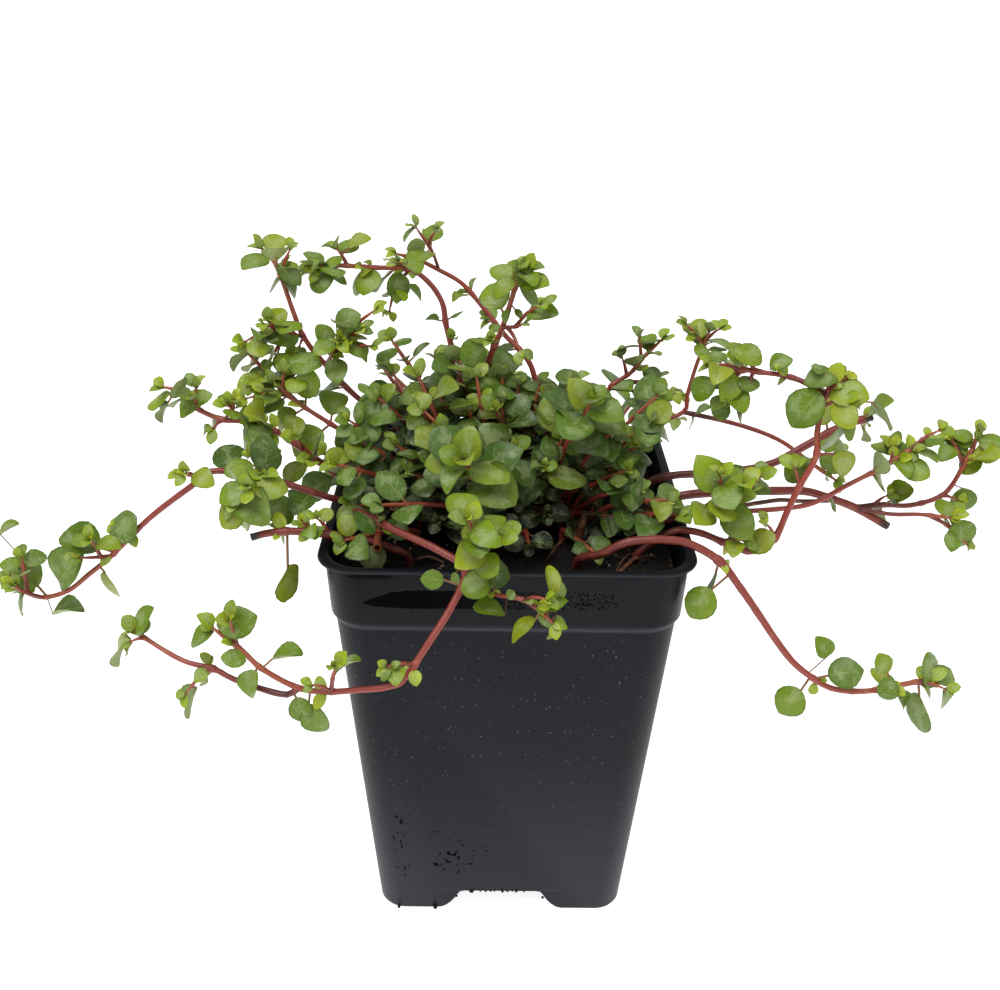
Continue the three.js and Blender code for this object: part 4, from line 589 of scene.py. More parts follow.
class Route:
    """A stem's middle line as a dense smooth line, read by place or by distance."""

    def __init__(self, points, lead=0):
        self.lead = lead
        self.points = self.smooth(np.array(points, float))
        steps = np.linalg.norm(np.diff(self.points, axis=0), axis=1)
        self.lengths = np.concatenate([[0], np.cumsum(steps)])
        self.length = self.lengths[-1]

    @staticmethod
    def smooth(points):
        count = len(points) - 1
        ends = np.vstack([2 * points[0] - points[1], points, 2 * points[-1] - points[-2]])
        line = []
        for step in range(count * SPAN_STEPS + 1):
            place = count * (step / (count * SPAN_STEPS))
            low = min(int(place), count - 1)
            t = place - low
            before, start, end, after = ends[low:low + 4]
            leaving = (end - before) / 2
            arriving = (after - start) / 2
            square = 3 * (end - start) - 2 * leaving - arriving
            cube = 2 * (start - end) + leaving + arriving
            line.append(start + t * leaving + t**2 * square + t**3 * cube)
        return np.array(line)

    def distance_of(self, place):
        """Distance along the route of a place counted in listed points."""
        step = min((place + self.lead) * SPAN_STEPS, len(self.points) - 1)
        low = min(int(step), len(self.points) - 2)
        return self.lengths[low] + (step - low) * (self.lengths[low + 1] - self.lengths[low])

    def at(self, distance):
        low = int(np.searchsorted(self.lengths[1:-1], distance))
        span = self.lengths[low + 1] - self.lengths[low]
        share = min(1, max(0, (distance - self.lengths[low]) / span))
        heading = unit(self.points[low + 1] - self.points[low])
        return self.points[low] * (1 - share) + self.points[low + 1] * share, heading


class Leaf:
    """Where a leaf lies: its root on the stem's middle line, its own axes and its sizes."""

    def __init__(self, route, distance, turn, lean, roll, blade, stalk):
        point, heading = route.at(distance)
        up = unit(square_to(UPWARDS, heading))
        aside = np.cross(heading, up)
        turn, lean, roll = np.radians([turn, lean, roll])
        outward = up * np.cos(turn) + aside * np.sin(turn)
        self.stem = self.root = point
        self.blade, self.stalk = blade, stalk
        self.age = 0.5
        self.tilt = LOOSE_TILT
        self.face_light(unit(heading * np.cos(lean) + outward * np.sin(lean)), heading, roll)

    def face_light(self, along, heading, roll):
        """Turns the blade's face to the light as far as the leaf's own line allows, then rolls it."""
        front = max(LIGHT_BACK, min(1, (LIGHT_MIDDLE - self.stem[1]) / LIGHT_SPAN))
        lit = square_to(np.array([0, -LIGHT_LEAN * front, LIGHT_RISE]), along)
        facing = unit(lit) if np.linalg.norm(lit) > 0.2 else unit(square_to(heading, along))
        facing = facing * np.cos(roll) + np.cross(along, facing) * np.sin(roll)
        self.along, self.facing, self.across = along, facing, np.cross(facing, along)

    def point(self, u, v=0):
        return self.root + self.along * u + self.across * v

    def marks(self):
        """Points spread over the blade, which keep other stems and leaves away."""
        return np.array([self.point(self.stalk + u * self.blade, v * self.blade) for u, v in LEAF_SPOTS])


class Grown:
    """A shoot with its route laid and the leaves that it has grown."""

    def __init__(self, node, root, route, girth, listed, tip):
        self.node, self.root, self.route, self.girth = node, root, route, girth
        self.listed, self.tip = listed, tip
        self.leaves = []
        self.knots = []


class Marks:
    """Points that are taken, each with the number of its node and leaf and the length of its blade."""

    def __init__(self):
        self.rows = np.zeros((MARKS_ROOM, 6))
        self.count = 0

    def add(self, points, node, leaf=0, blade=0):
        end = self.count + len(points)
        self.rows[self.count:end, :3] = points
        self.rows[self.count:end, 3:] = (node, leaf, blade)
        self.count = end

    def near(self, middle, reach):
        rows = self.rows[:self.count]
        return rows[np.abs(rows[:, :3] - middle).max(axis=1) < reach]


stem_marks = Marks()
leaf_marks = Marks()
node_numbers = {}


def number_of(node):
    return node_numbers.setdefault(node, len(node_numbers) + 1)


def beside_lip(points, room):
    """Which points are inside the mouth, and which are above or outside the lip."""
    out = np.abs(points[:, :2]).max(axis=1)
    return out < MOUTH_HALF - room, (points[:, 2] > POT_HEIGHT + room) | (out > LIP_HALF + room)


def clear_of_pot(points, room):
    """Whether points are clear of the soil, the collar and the lip."""
    inside, over_lip = beside_lip(points, room)
    over_soil = points[:, 2] > SOIL_TOP + SOIL_RELIEF + room
    return bool(np.where(inside, over_soil, over_lip).all())


def clear_of_rim(points):
    inside, over_lip = beside_lip(points, STEM_ROOM)
    return bool((inside | over_lip).all())


def gaps_between(marks, points):
    """For each mark, its distance from the nearest of the points."""
    return np.linalg.norm(marks[:, None, :3] - points[None], axis=2).min(axis=1)


def leaf_fits(leaf, node, siblings, ease):
    """Whether a leaf is clear of the pot, of the other stems and of the other leaves."""
    points = leaf.marks()
    if not clear_of_pot(points, POT_ROOM):
        return False
    middle = points[SPOT_MIDDLE]
    reach = 2 * leaf.blade
    number = number_of(node)
    stems = stem_marks.near(middle, reach)
    stems = stems[stems[:, 3] != number]
    if (gaps_between(stems, points) < (leaf.blade * ROOM_SHARE + STEM_ROOM) * ease).any():
        return False
    others = leaf_marks.near(middle, reach)
    others = others[~np.isin(others[:, 4], [id_of(sibling) for sibling in siblings])]
    both = others[:, 5] + leaf.blade
    room = np.where(others[:, 3] == number, both * OWN_SHARE, both * ROOM_SHARE + ROOM_FIXED)
    return not (gaps_between(others, points) < room * ease).any()


leaf_numbers = {}


def id_of(leaf):
    return leaf_numbers.setdefault(leaf, len(leaf_numbers) + 1)


def keep_leaf(shoot, leaf, age):
    leaf.age = age
    leaf_marks.add(leaf.marks(), number_of(shoot.node), id_of(leaf), leaf.blade)
    shoot.leaves.append(leaf)


def grow_leaf(shoot, distance, turn, lean, blade, stalk, siblings, age, draw=chance, ease=1):
    """One leaf, turned or made smaller until it has room, or left out."""
    sized = blade * (1 + draw(SIZE_SPREAD))
    turned = turn + draw(TURN_SPREAD)
    leant = lean + draw(LEAN_SPREAD)
    rolled = draw(ROLL_SPREAD)
    for more, shrink in zip(TRY_TURNS, TRY_SHRINK):
        leaf = Leaf(shoot.route, distance, turned + more, leant, rolled, sized * shrink, stalk)
        if leaf_fits(leaf, shoot.node, siblings, ease):
            keep_leaf(shoot, leaf, age)
            siblings.append(leaf)
            return


def grow_pair(shoot, distance, turn, lean, blade, stalk, count, age, draw=chance, ease=1):
    shoot.knots.append(distance)
    siblings = []
    for k in range(count):
        grow_leaf(shoot, distance, turn + 180 * k, lean, blade, stalk, siblings, age, draw, ease)


def grow_tip(shoot, age, draw=chance, ease=1):
    """The young leaves at a tip: pairs that stand steeper and smaller towards the end."""
    blade, pairs = shoot.tip
    siblings = []
    for k in range(pairs):
        share = 1 if pairs == 1 else k / (pairs - 1)
        back = (pairs - 1 - k) * TIP_GAP
        distance = shoot.route.length - TIP_END - back
        lean = LEAN + TIP_LEAN - TIP_RISE * share
        size = blade * (1 - TIP_SHRINK * share)
        younger = age * (1 - 0.5 * share)
        for side in range(2):
            turn = TIP_TURN + 90 * k + 180 * side
            grow_leaf(shoot, distance, turn, lean, size, TIP_STALK, siblings, younger, draw, ease)


def lay_routes(spray):
    """The routes of one node. The first shoot stands in the soil, the others fork from it."""
    x, y = spray.root
    laid = []
    for index, shoot in enumerate(spray.shoots):
        lead = [[x, y, SOIL_TOP + rise] for rise in FOOT_RISES] if index == 0 else []
        route = Route([*lead, *shoot.route], len(lead))
        laid.append(Grown(spray.name, spray.root, route, shoot.girth, shoot.leaves, shoot.tip))
    return laid


def mark_stems(shoots):
    for shoot in shoots:
        stem_marks.add(shoot.route.points, number_of(shoot.node))


def dome_height(x, y):
    """Height of the clump's leaf tips at a place."""
    away = ((x - CLUMP_MIDDLE[0]) / CLUMP_REACH[0]) ** 2 + ((y - CLUMP_MIDDLE[1]) / CLUMP_REACH[1]) ** 2
    return CLUMP_TOP - CLUMP_FALL * away


def clump_stem(root, tip, leaves):
    """A shoot of the clump from its root, over a bend that stands steep, to its tip."""
    foot = [*root, SOIL_TOP + CLUMP_FOOT]
    shares = zip(foot, tip, CLUMP_BEND)
    bend = [start + (end - start) * share for start, end, share in shares]
    return Shoot([foot, bend, tip], CLUMP_GIRTH, [], leaves)


def sunflower(index, count):
    """A place on the clump's ellipse: the places lie like seeds in a sunflower."""
    share = math.sqrt((index + 0.5) / count)
    angle = math.radians(index * GOLDEN_TURN)
    return [
        CLUMP_MIDDLE[0] + CLUMP_REACH[0] * share * math.cos(angle),
        CLUMP_MIDDLE[1] + CLUMP_REACH[1] * share * math.sin(angle),
    ]


def near_foot(value):
    return max(-ROOT_LIMIT, min(ROOT_LIMIT, value))


def stands_free(shoots):
    taken = stem_marks.rows[:stem_marks.count, :3]
    for shoot in shoots:
        points = shoot.route.points
        if not clear_of_rim(points):
            return False
        if (np.linalg.norm(taken[:, None] - points[None], axis=2) <= STEM_GAP).any():
            return False
    return True


def clump_bush(index):
    """A bush of the clump: three shoots from one foot in the soil to tips on a low dome."""
    middle = sunflower(index, CLUMP_BUSHES)
    fan = [[chance(spread) for spread in FAN_SPREADS] for _ in range(3)]
    for attempt in range(CLUMP_TRIES):
        turned, away = attempt * TRY_TURN, attempt * TRY_STEP
        shift = [away * math.cos(turned), away * math.sin(turned)]
        root = [near_foot(middle[i] * ROOT_PULL + 2 * shift[i]) for i in range(2)]
        listed = []
        for k, (turn, rise, _, _) in enumerate(fan):
            spread = math.radians(k * 120 + index * 50 + turn)
            x = middle[0] + shift[0] + FAN_REACH * math.cos(spread)
            y = middle[1] + shift[1] + FAN_REACH * math.sin(spread)
            listed.append(clump_stem(root, [x, y, dome_height(x, y) + rise], CLUMP_TIP))
        shoots = lay_routes(Spray(f"clump_bush_{index + 1:02d}", root, listed))
        if stands_free(shoots):
            return shoots, fan
    return None


def leafy_places(shoot, bare, gap):
    """Distances along a shoot, from below its tip down to where it is bare."""
    distance = shoot.route.length - CLUMP_LEAF_GAP
    while distance > shoot.route.length * bare:
        yield distance
        distance -= gap


def grow_clump_leaves(shoots, fan):
    for shoot, (_, _, gap, leaf_turn) in zip(shoots, fan):
        grow_tip(shoot, CLUMP_AGES[0])
        for k, distance in enumerate(leafy_places(shoot, CLUMP_BARE, CLUMP_LEAF_GAP + gap)):
            grow_pair(shoot, distance, leaf_turn + 90 * k, LEAN, CLUMP_BLADE, 2, 2, CLUMP_AGES[1])


def grow_plant():
    """Every node's shoots with the leaves that the solids have, in the same order."""
    shown = [lay_routes(spray) for spray in SPRAYS]
    for shoots in shown:
        mark_stems(shoots)
    clump = []
    for index in range(CLUMP_BUSHES):
        bush = clump_bush(index)
        if bush:
            mark_stems(bush[0])
            clump.append(bush)
    for shoot in [shoot for shoots in shown for shoot in shoots]:
        if shoot.tip:
            grow_tip(shoot, TIP_AGE)
        for place, turn, blade, stalk, *count in shoot.listed:
            distance = shoot.route.distance_of(place)
            age = min(1, LEAST_AGE + (shoot.route.length - distance) / AGE_SPAN)
            grow_pair(shoot, distance, turn, LEAN, blade, stalk, *(count or [2]), age)
    for shoots, fan in clump:
        grow_clump_leaves(shoots, fan)
    return shown + [shoots for shoots, _ in clump]


def add_young_leaves(shoot):
    """The folded young pairs in the middle of a tip, which the solids leave out."""
    blade, pairs = shoot.tip
    size = blade * (1 - TIP_SHRINK)
    for k, (share, lean) in enumerate(zip(YOUNG_SHARES[:pairs], YOUNG_LEANS)):
        for side in range(2):
            turn = TIP_TURN + 90 * (pairs + k) + 180 * side + whim(20)
            leaf = Leaf(shoot.route, shoot.route.length - 0.2, turn, lean + whim(6), whim(10),
                        size * (share + whim(0.06)), 0.5)
            keep_leaf(shoot, leaf, 0)


def add_axil_leaves(shoot):
    """The tiny pairs that sprout where a leaf meets its stem."""
    for knot in shoot.knots:
        if whim(1) > 2 * AXIL_SHARE - 1:
            continue
        turn = whim(180)
        for side in range(2):
            leaf = Leaf(shoot.route, knot + 0.6, turn + 180 * side, 48 + whim(14), whim(20),
                        AXIL_BLADE * (1 + whim(0.3)), 0.9)
            keep_leaf(shoot, leaf, AXIL_AGE)


def clump_shoot(x, y, z, blade, pairs):
    """One more shoot of the clump, from the soil to a leafy tip."""
    root = [near_foot(x * ROOT_PULL + whim(3)), near_foot(y * ROOT_PULL + whim(3))]
    return lay_routes(Spray("inner_shoots", root, [clump_stem(root, [x, y, z], [blade, pairs])]))[0]


def grow_filling():
    """The clump's shoots that the photograph shows, and hidden ones behind them."""
    tips = list(TIPS)
    for index in range(FILL_SHOOTS):
        x, y = sunflower(index, FILL_SHOOTS)
        x, y = x + whim(3), y + whim(3)
        if y > FILL_FRONT:
            tips.append([x, y, dome_height(x, y) - 8 + whim(9), FILL_BLADE, 2])
    grown = [clump_shoot(*tip) for tip in tips]
    grown = [shoot for shoot in grown if clear_of_rim(shoot.route.points)]
    mark_stems(grown)
    for shoot in grown:
        grow_tip(shoot, FILL_AGES[0], whim, TWIG_ROOM)
    for shoot in grown:
        for k, distance in enumerate(leafy_places(shoot, CLUMP_BARE_SHOOT, CLUMP_LEAF_GAP)):
            turn = 45 + 90 * k + whim(30)
            blade, age = shoot.tip[0], FILL_AGES[1]
            grow_pair(shoot, distance, turn, LEAN, blade, 2.5, 2, age, whim, TWIG_ROOM)
    return grown


def nearest_stem(host, point):
    """The shoot that passes nearest to a point, the distance along it there, and the gap."""
    gaps = [np.linalg.norm(shoot.route.points - point, axis=1) for shoot in host]
    nearest = min(range(len(host)), key=lambda k: gaps[k].min())
    return host[nearest], host[nearest].route.lengths[gaps[nearest].argmin()], gaps[nearest].min()


def twig(host, x, y, z, blade, pairs):
    """A short side stem to a leafy tip, from the nearest place on the stems of its host."""
    tip = np.array([x, y, z], float)
    bearer, distance, gap = nearest_stem(host, tip)
    distance = max(0, distance - 1 - 0.5 * gap)
    start, _ = bearer.route.at(distance)
    middle = (start + tip) / 2 + [0, 0, TWIG_RISE * gap]
    route = Route([start, middle, tip])
    bearer.knots.append(distance)
    return Grown(bearer.node, bearer.root, route, TWIG_GIRTH, [], [blade * TWIG_SIZE, pairs])


def grow_twigs(host, listed):
    """Side stems with their leaves, added to the stems of one node."""
    twigs = [twig(host, *place) for place in listed]
    mark_stems(twigs)
    for shoot in twigs:
        grow_tip(shoot, TWIG_AGES[0], whim, TWIG_ROOM)
        if shoot.route.length > 1.2 * CLUMP_LEAF_GAP:
            middle = shoot.route.length * 0.5
            blade, age = 0.85 * shoot.tip[0], TWIG_AGES[1]
            grow_pair(shoot, middle, whim(90), LEAN, blade, 1.5, 2, age, whim, TWIG_ROOM)
    host += [shoot for shoot in twigs if shoot.leaves]


def place_leaf(host, foot_x, foot_y, foot_z, tip_x, tip_y, tip_z, roll):
    """A leaf that shows on its own: its blade from foot to tip, its stalk from the nearest stem."""
    foot, tip = np.array([foot_x, foot_y, foot_z]), np.array([tip_x, tip_y, tip_z])
    bearer, distance, _ = nearest_stem(host, foot)
    leaf = Leaf(bearer.route, distance, 0, LEAN, 0, np.linalg.norm(tip - foot), 0)
    leaf.root = foot
    leaf.tilt = PLACED_TILT
    leaf.face_light(unit(tip - foot), bearer.route.at(distance)[1], math.radians(roll))
    keep_leaf(bearer, leaf, PLACED_AGE)


def shows(leaf):
    """Whether the photograph has a leaf there."""
    middle = leaf.point(leaf.stalk + 0.5 * leaf.blade)
    return np.linalg.norm(np.array(BARE_SPOTS) - middle, axis=1).min() > BARE_REACH


def shade_depth(point):
    """0 at the clump's dome and outside the pot, 1 in the shade well below the dome."""
    x, y, z = point
    if max(abs(x), abs(y)) > MOUTH_HALF:
        return 0
    return min(1, max(0, (dome_height(x, y) - SHADE_GAP - z) / SHADE_DEPTH))


# Modelling helpers


def deselect():
    bpy.ops.object.select_all(action="DESELECT")


def take(piece):
    """Makes a piece the only one that an operator acts on."""
    deselect()
    piece.select_set(True)
    bpy.context.view_layer.objects.active = piece


def edit(piece):
    """Opens a piece for editing with all of it selected."""
    take(piece)
    bpy.ops.object.mode_set(mode="EDIT")
    bpy.ops.mesh.select_mode(type="VERT")
    bpy.ops.mesh.select_all(action="SELECT")


def done():
    bpy.ops.object.mode_set(mode="OBJECT")


def pick(piece, test):
    """Selects, in edit mode, the vertices whose place in millimetres passes a test."""
    bpy.ops.mesh.select_all(action="DESELECT")
    bpy.ops.mesh.select_mode(type="VERT")
    shape = bmesh.from_edit_mesh(piece.data)
    for vertex in shape.verts:
        vertex.select = test(vertex.co / MM)
    shape.select_flush(True)
    bmesh.update_edit_mesh(piece.data)


def push(x, y, z):
    """Extrudes the selected faces by millimetres."""
    bpy.ops.mesh.extrude_region_move(TRANSFORM_OT_translate={"value": (x * MM, y * MM, z * MM)})


def lift(height):
    """Extrudes the selected edges upwards by millimetres."""
    bpy.ops.mesh.extrude_edges_move(TRANSFORM_OT_translate={"value": (0, 0, height * MM)})


def squeeze(ratio, height=0, flat=1):
    """Scales what is selected about the middle line, towards a height in millimetres."""
    bpy.ops.transform.resize(value=(ratio, ratio, flat), center_override=(0, 0, height * MM))


def apply_place(piece):
    take(piece)
    bpy.ops.object.transform_apply(location=True, rotation=True, scale=True)


def modify(piece, kind, **settings):
    modifier = piece.modifiers.new(kind.title(), kind)
    for name, value in settings.items():
        setattr(modifier, name, value)
    take(piece)
    bpy.ops.object.modifier_apply(modifier=modifier.name)


def tidy_faces(piece):
    """Merges doubles and turns every face outwards."""
    edit(piece)
    bpy.ops.mesh.remove_doubles(threshold=0.01 * MM)
    bpy.ops.mesh.normals_make_consistent(inside=False)
    done()


def smooth(piece, degrees):
    take(piece)
    bpy.ops.object.shade_smooth_by_angle(angle=math.radians(degrees))


def add_to_scene(thing):
    bpy.context.scene.collection.objects.link(thing)


def named(name):
    piece = bpy.context.object
    piece.name = name
    piece.data.name = name
    return piece


def joined(pieces, name):
    deselect()
    for piece in pieces:
        piece.select_set(True)
    bpy.context.view_layer.objects.active = pieces[0]
    bpy.ops.object.join()
    return named(name)


def dress(piece, material, slot, *nodes):
    """Gives a finished piece its material and its body, and hides the imported parts of the nodes that it
    stands for. The slot is not used.
    """
    piece.data.materials.clear()
    piece.data.materials.append(material)
    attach(piece, "root")
    if nodes:
        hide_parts(*nodes)


# Pot


def body_half(height):
    share = height / COLLAR_FOOT
    return BODY_FOOT_HALF + (BODY_TOP_HALF - BODY_FOOT_HALF) * share


def draw_up(half, height, profile):
    """Extrudes the selected ring through a list of half widths and heights."""
    for next_half, next_height in profile:
        lift(next_height - height)
        squeeze(next_half / half)
        half, height = next_half, next_height


def arch_cutter(turn):
    """The arch between two feet, as a bar through the whole pot."""
    side = []
    start = Vector((NOTCH_FOOT_HALF + 0.6, 0))
    bend = Vector((NOTCH_TOP_HALF + 3.6, NOTCH_HEIGHT * 0.22))
    end = Vector((NOTCH_TOP_HALF + 1.5, NOTCH_HEIGHT * 0.8))
    for step in range(7):
        t = step / 6
        side.append(start * (1 - t) ** 2 + bend * 2 * t * (1 - t) + end * t**2)
    side.append(Vector((NOTCH_TOP_HALF + 0.6, NOTCH_HEIGHT * 0.96)))
    side.append(Vector((NOTCH_TOP_HALF - 0.8, NOTCH_HEIGHT)))
    outline = [Vector((NOTCH_FOOT_HALF + 0.6, -1)), *side]
    outline += [Vector((-p.x, p.y)) for p in reversed(outline)]
    bpy.ops.mesh.primitive_circle_add(vertices=len(outline), radius=MM, fill_type="NGON")
    cutter = named("arch_cutter")
    for vertex, p in zip(cutter.data.vertices, outline):
        vertex.co = Vector((p.x, -LIP_HALF, p.y)) * MM
    edit(cutter)
    push(0, 2 * LIP_HALF, 0)
    done()
    cutter.data.transform(Matrix.Rotation(turn, 4, "Z"))
    tidy_faces(cutter)
    return cutter


def drain_cutter():
    holes = []
    for x, y in ((1, 1), (-1, 1), (-1, -1), (1, -1), (0, 0)):
        bpy.ops.mesh.primitive_cylinder_add(
            vertices=DRAIN_SIDES, radius=DRAIN_RADIUS * MM, depth=8 * MM,
            location=(x * DRAIN_OFFSET * MM, y * DRAIN_OFFSET * MM, FLOOR_UNDERSIDE * MM))
        holes.append(bpy.context.object)
    cutter = joined(holes, "drain_cutter")
    apply_place(cutter)
    return cutter


def cut(piece, cutter):
    modify(piece, "BOOLEAN", operation="DIFFERENCE", solver="EXACT", object=cutter)
    bpy.data.objects.remove(cutter)


def moulded_pot():
    foot_half = BODY_FOOT_HALF - EDGE_ROUND
    floor_top = FLOOR_UNDERSIDE + FLOOR_THICK
    bpy.ops.mesh.primitive_plane_add(size=2 * foot_half * MM)
    pot = named("moulded_pot")
    edit(pot)
    bpy.ops.mesh.bevel(offset=BODY_FOOT_CORNER * MM, segments=CORNER_STEPS, affect="VERTICES")
    bpy.ops.mesh.select_all(action="SELECT")
    bpy.ops.mesh.delete(type="ONLY_FACE")
    bpy.ops.mesh.select_all(action="SELECT")
    draw_up(foot_half, 0, [
        (BODY_FOOT_HALF - 0.4, 0.15),
        (BODY_FOOT_HALF, EDGE_ROUND),
        (BODY_TOP_HALF, COLLAR_FOOT - LEDGE_DROP - 0.9),
        (BODY_TOP_HALF + 0.1, COLLAR_FOOT - LEDGE_DROP - 0.2),
        (BODY_TOP_HALF + 0.4, COLLAR_FOOT - 0.8),
        (COLLAR_FOOT_HALF - 0.4, COLLAR_FOOT - 0.3),
        (COLLAR_FOOT_HALF - 0.1, COLLAR_FOOT + 0.3),
        (COLLAR_FOOT_HALF, COLLAR_FOOT + 1.1),
        (COLLAR_TOP_HALF, LIP_FOOT - 0.4),
        (COLLAR_TOP_HALF + 0.3, LIP_FOOT - 0.05),
        (LIP_HALF - 0.5, LIP_FOOT + 0.1),
        (LIP_HALF - 0.1, LIP_FOOT + 0.4),
        (LIP_HALF, POT_HEIGHT - 0.6),
        (LIP_HALF - 0.25, POT_HEIGHT - 0.15),
        (LIP_HALF - 0.7, POT_HEIGHT),
        (MOUTH_HALF + 1.1, POT_HEIGHT - 0.1),
        (MOUTH_HALF + 0.4, POT_HEIGHT - 0.5),
        (MOUTH_HALF, POT_HEIGHT - 1.4),
        (COLLAR_FOOT_HALF - WALL, COLLAR_FOOT),
        (BODY_TOP_HALF - WALL, COLLAR_FOOT - LEDGE_DROP),
        (body_half(floor_top) - WALL, floor_top + 0.8),
        (body_half(floor_top) - WALL - 0.8, floor_top),
    ])
    bpy.ops.mesh.edge_face_add()
    pick(pot, lambda p: p.z < 0.01)
    inner_foot = foot_half - FOOT_WIDTH + 0.2
    draw_up(foot_half, 0, [
        (inner_foot, 0),
        (body_half(FLOOR_UNDERSIDE) - FOOT_WIDTH, FLOOR_UNDERSIDE),
    ])
    bpy.ops.mesh.edge_face_add()
    done()
    tidy_faces(pot)
    cut(pot, arch_cutter(0))
    cut(pot, arch_cutter(math.pi / 2))
    cut(pot, drain_cutter())
    smooth(pot, 32)
    return pot


# Soil


def soil_bump(x, y):
    """The soil's broad bumps, as in the solids."""
    return SOIL_RELIEF * (math.sin(x * 0.31 + y * 0.12) + math.sin(y * 0.37 - x * 0.17 + 1.3)) * 0.5


def soil_height(x, y):
    """Bumps, lumps and crumbs of the soil's surface."""
    place = Vector((x, y, 0))
    lumps = noise.fractal(place * 0.16, 0.9, 2.1, 4)
    grain = noise.noise(place * 0.9)
    return SOIL_TOP + soil_bump(x, y) + 0.9 * lumps + 0.45 * grain


def soil_bed():
    """The soil: a grid with rounded corners and a crumbled face, drawn down to the floor."""
    top_half = COLLAR_FOOT_HALF - WALL - 0.2
    corner = SOIL_CORNER * top_half
    inner = top_half - corner
    bpy.ops.mesh.primitive_grid_add(
        x_subdivisions=SOIL_GRID, y_subdivisions=SOIL_GRID, size=2 * top_half * MM)
    soil = named("soil_bed")
    for vertex in soil.data.vertices:
        x, y = vertex.co.x / MM, vertex.co.y / MM
        over = Vector((max(0, abs(x) - inner), max(0, abs(y) - inner)))
        if over.length > corner:
            over *= corner / over.length
            x = math.copysign(inner + over.x, x)
            y = math.copysign(inner + over.y, y)
        vertex.co = Vector((x, y, soil_height(x, y))) * MM
    edit(soil)
    bpy.ops.mesh.region_to_loop()
    foot_half = body_half(SOIL_FOOT) - WALL - 1
    lift(COLLAR_FOOT - SOIL_TOP)
    lift(SOIL_FOOT - COLLAR_FOOT)
    squeeze(foot_half / top_half, SOIL_FOOT, 0)
    bpy.ops.mesh.edge_face_add()
    done()
    tidy_faces(soil)
    smooth(soil, 60)
    return soil


def soil_crumb():
    """One crumb of soil, with a few dozen faces."""
    bpy.ops.mesh.primitive_ico_sphere_add(subdivisions=2, radius=MM)
    crumb = named("crumb_pattern")
    for vertex in crumb.data.vertices:
        vertex.co *= 1 + 0.45 * noise.noise(vertex.co / MM * 1.3)
    return crumb


def crumb_places(feet):
    """Places all over the soil, and a ring round the foot of every stem."""
    half = COLLAR_FOOT_HALF - WALL - 2
    places = [(whim(half), whim(half)) for _ in range(CRUMBS)]
    for x, y in feet:
        for _ in range(FOOT_CRUMBS):
            angle, away = whim(math.pi), 1.9 + whim(0.9)
            places.append((x + away * math.cos(angle), y + away * math.sin(angle)))
    return [(x, y) for x, y in places if max(abs(x), abs(y)) < half]


def scattered(name, places):
    """Crumbs at places given as [x, y, z, size], each turned and shaped on its own."""
    pattern = soil_crumb()
    copies = []
    for x, y, z, size in places:
        turn = Matrix.Rotation(whim(math.pi), 4, "Z") @ Matrix.Rotation(whim(math.pi), 4, "X")
        shape = Matrix.Diagonal((size * (1 + whim(0.4)), size, size * (0.75 + whim(0.2)), 1))
        copies.append(copy_of(pattern, Matrix.Translation(Vector((x, y, z)) * MM) @ turn @ shape))
    bpy.data.objects.remove(pattern)
    crumbs = joined(copies, name)
    smooth(crumbs, 50)
    return crumbs


def on_soil(places, least, spread):
    """Places on the soil with sizes drawn for them."""
    laid = []
    for x, y in places:
        size = least + spread * abs(whim(1)) ** 2
        laid.append([x, y, soil_height(x, y) + 0.25 * size, size])
    return laid


def copy_of(pattern, move=None):
    twin = pattern.copy()
    twin.data = pattern.data.copy()
    if move is not None:
        twin.data.transform(move)
    add_to_scene(twin)
    return twin


# Stems


def stem_rings(shoot):
    """Distances along a shoot and the girth there, with a swelling at each pair of leaves."""
    route = shoot.route
    stops = list(np.arange(0, route.length, RING_GAP)) + [route.length]
    for knot in shoot.knots:
        stops += [knot + offset for offset in KNOT_RINGS]
    stops = sorted(stop for stop in stops if 0 <= stop <= route.length)
    kept = [0.0]
    for stop in stops:
        if stop - kept[-1] > LEAST_RING_GAP:
            kept.append(stop)
    thick, thin = shoot.girth
    rings = []
    for stop in kept:
        girth = thick + (thin - thick) * stop / route.length
        for knot in shoot.knots:
            girth *= 1 + SWELL * math.exp(-(((stop - knot) / SWELL_REACH) ** 2))
        if shoot.tip:
            girth *= TAPER_END + (1 - TAPER_END) * min(1, (route.length - stop) / TAPER_REACH)
        rings.append((route.at(stop)[0], girth * STEM_SHARE * (1 + whim(0.04)), stop))
    return rings


def stem_piece(name, shoots):
    """The stems of a node: a tube along each shoot, with its girth point by point."""
    curve = bpy.data.curves.new(name, "CURVE")
    curve.dimensions = "3D"
    curve.bevel_depth = MM
    curve.bevel_resolution = 2
    curve.use_fill_caps = True
    middles = []
    for shoot in shoots:
        rings = stem_rings(shoot)
        spline = curve.splines.new("POLY")
        spline.points.add(len(rings) - 1)
        for point, (place, girth, stop) in zip(spline.points, rings):
            point.co = (*(place * MM), 1)
            point.radius = girth
            share = stop / shoot.route.length
            thin = 1 - (shoot.girth[0] + (shoot.girth[1] - shoot.girth[0]) * share) / THICKEST_STEM
            cut = 0 if shoot.tip else max(0, 1 - (shoot.route.length - stop) / CUT_REACH)
            middles.append((*place, share if shoot.tip else 0.5 * share, thin, cut))
    piece = bpy.data.objects.new(name, curve)
    add_to_scene(piece)
    take(piece)
    bpy.ops.object.convert(target="MESH")
    piece = named(name)
    middles = np.array(middles)
    places = np.array([vertex.co for vertex in piece.data.vertices]) / MM
    nearest = [int(np.argmin(((middles[:, :3] - place) ** 2).sum(axis=1))) for place in places]
    for column, value in enumerate(("along", "thin", "cut"), 3):
        write_values(piece, value, middles[nearest, column])
    smooth(piece, 60)
    return piece


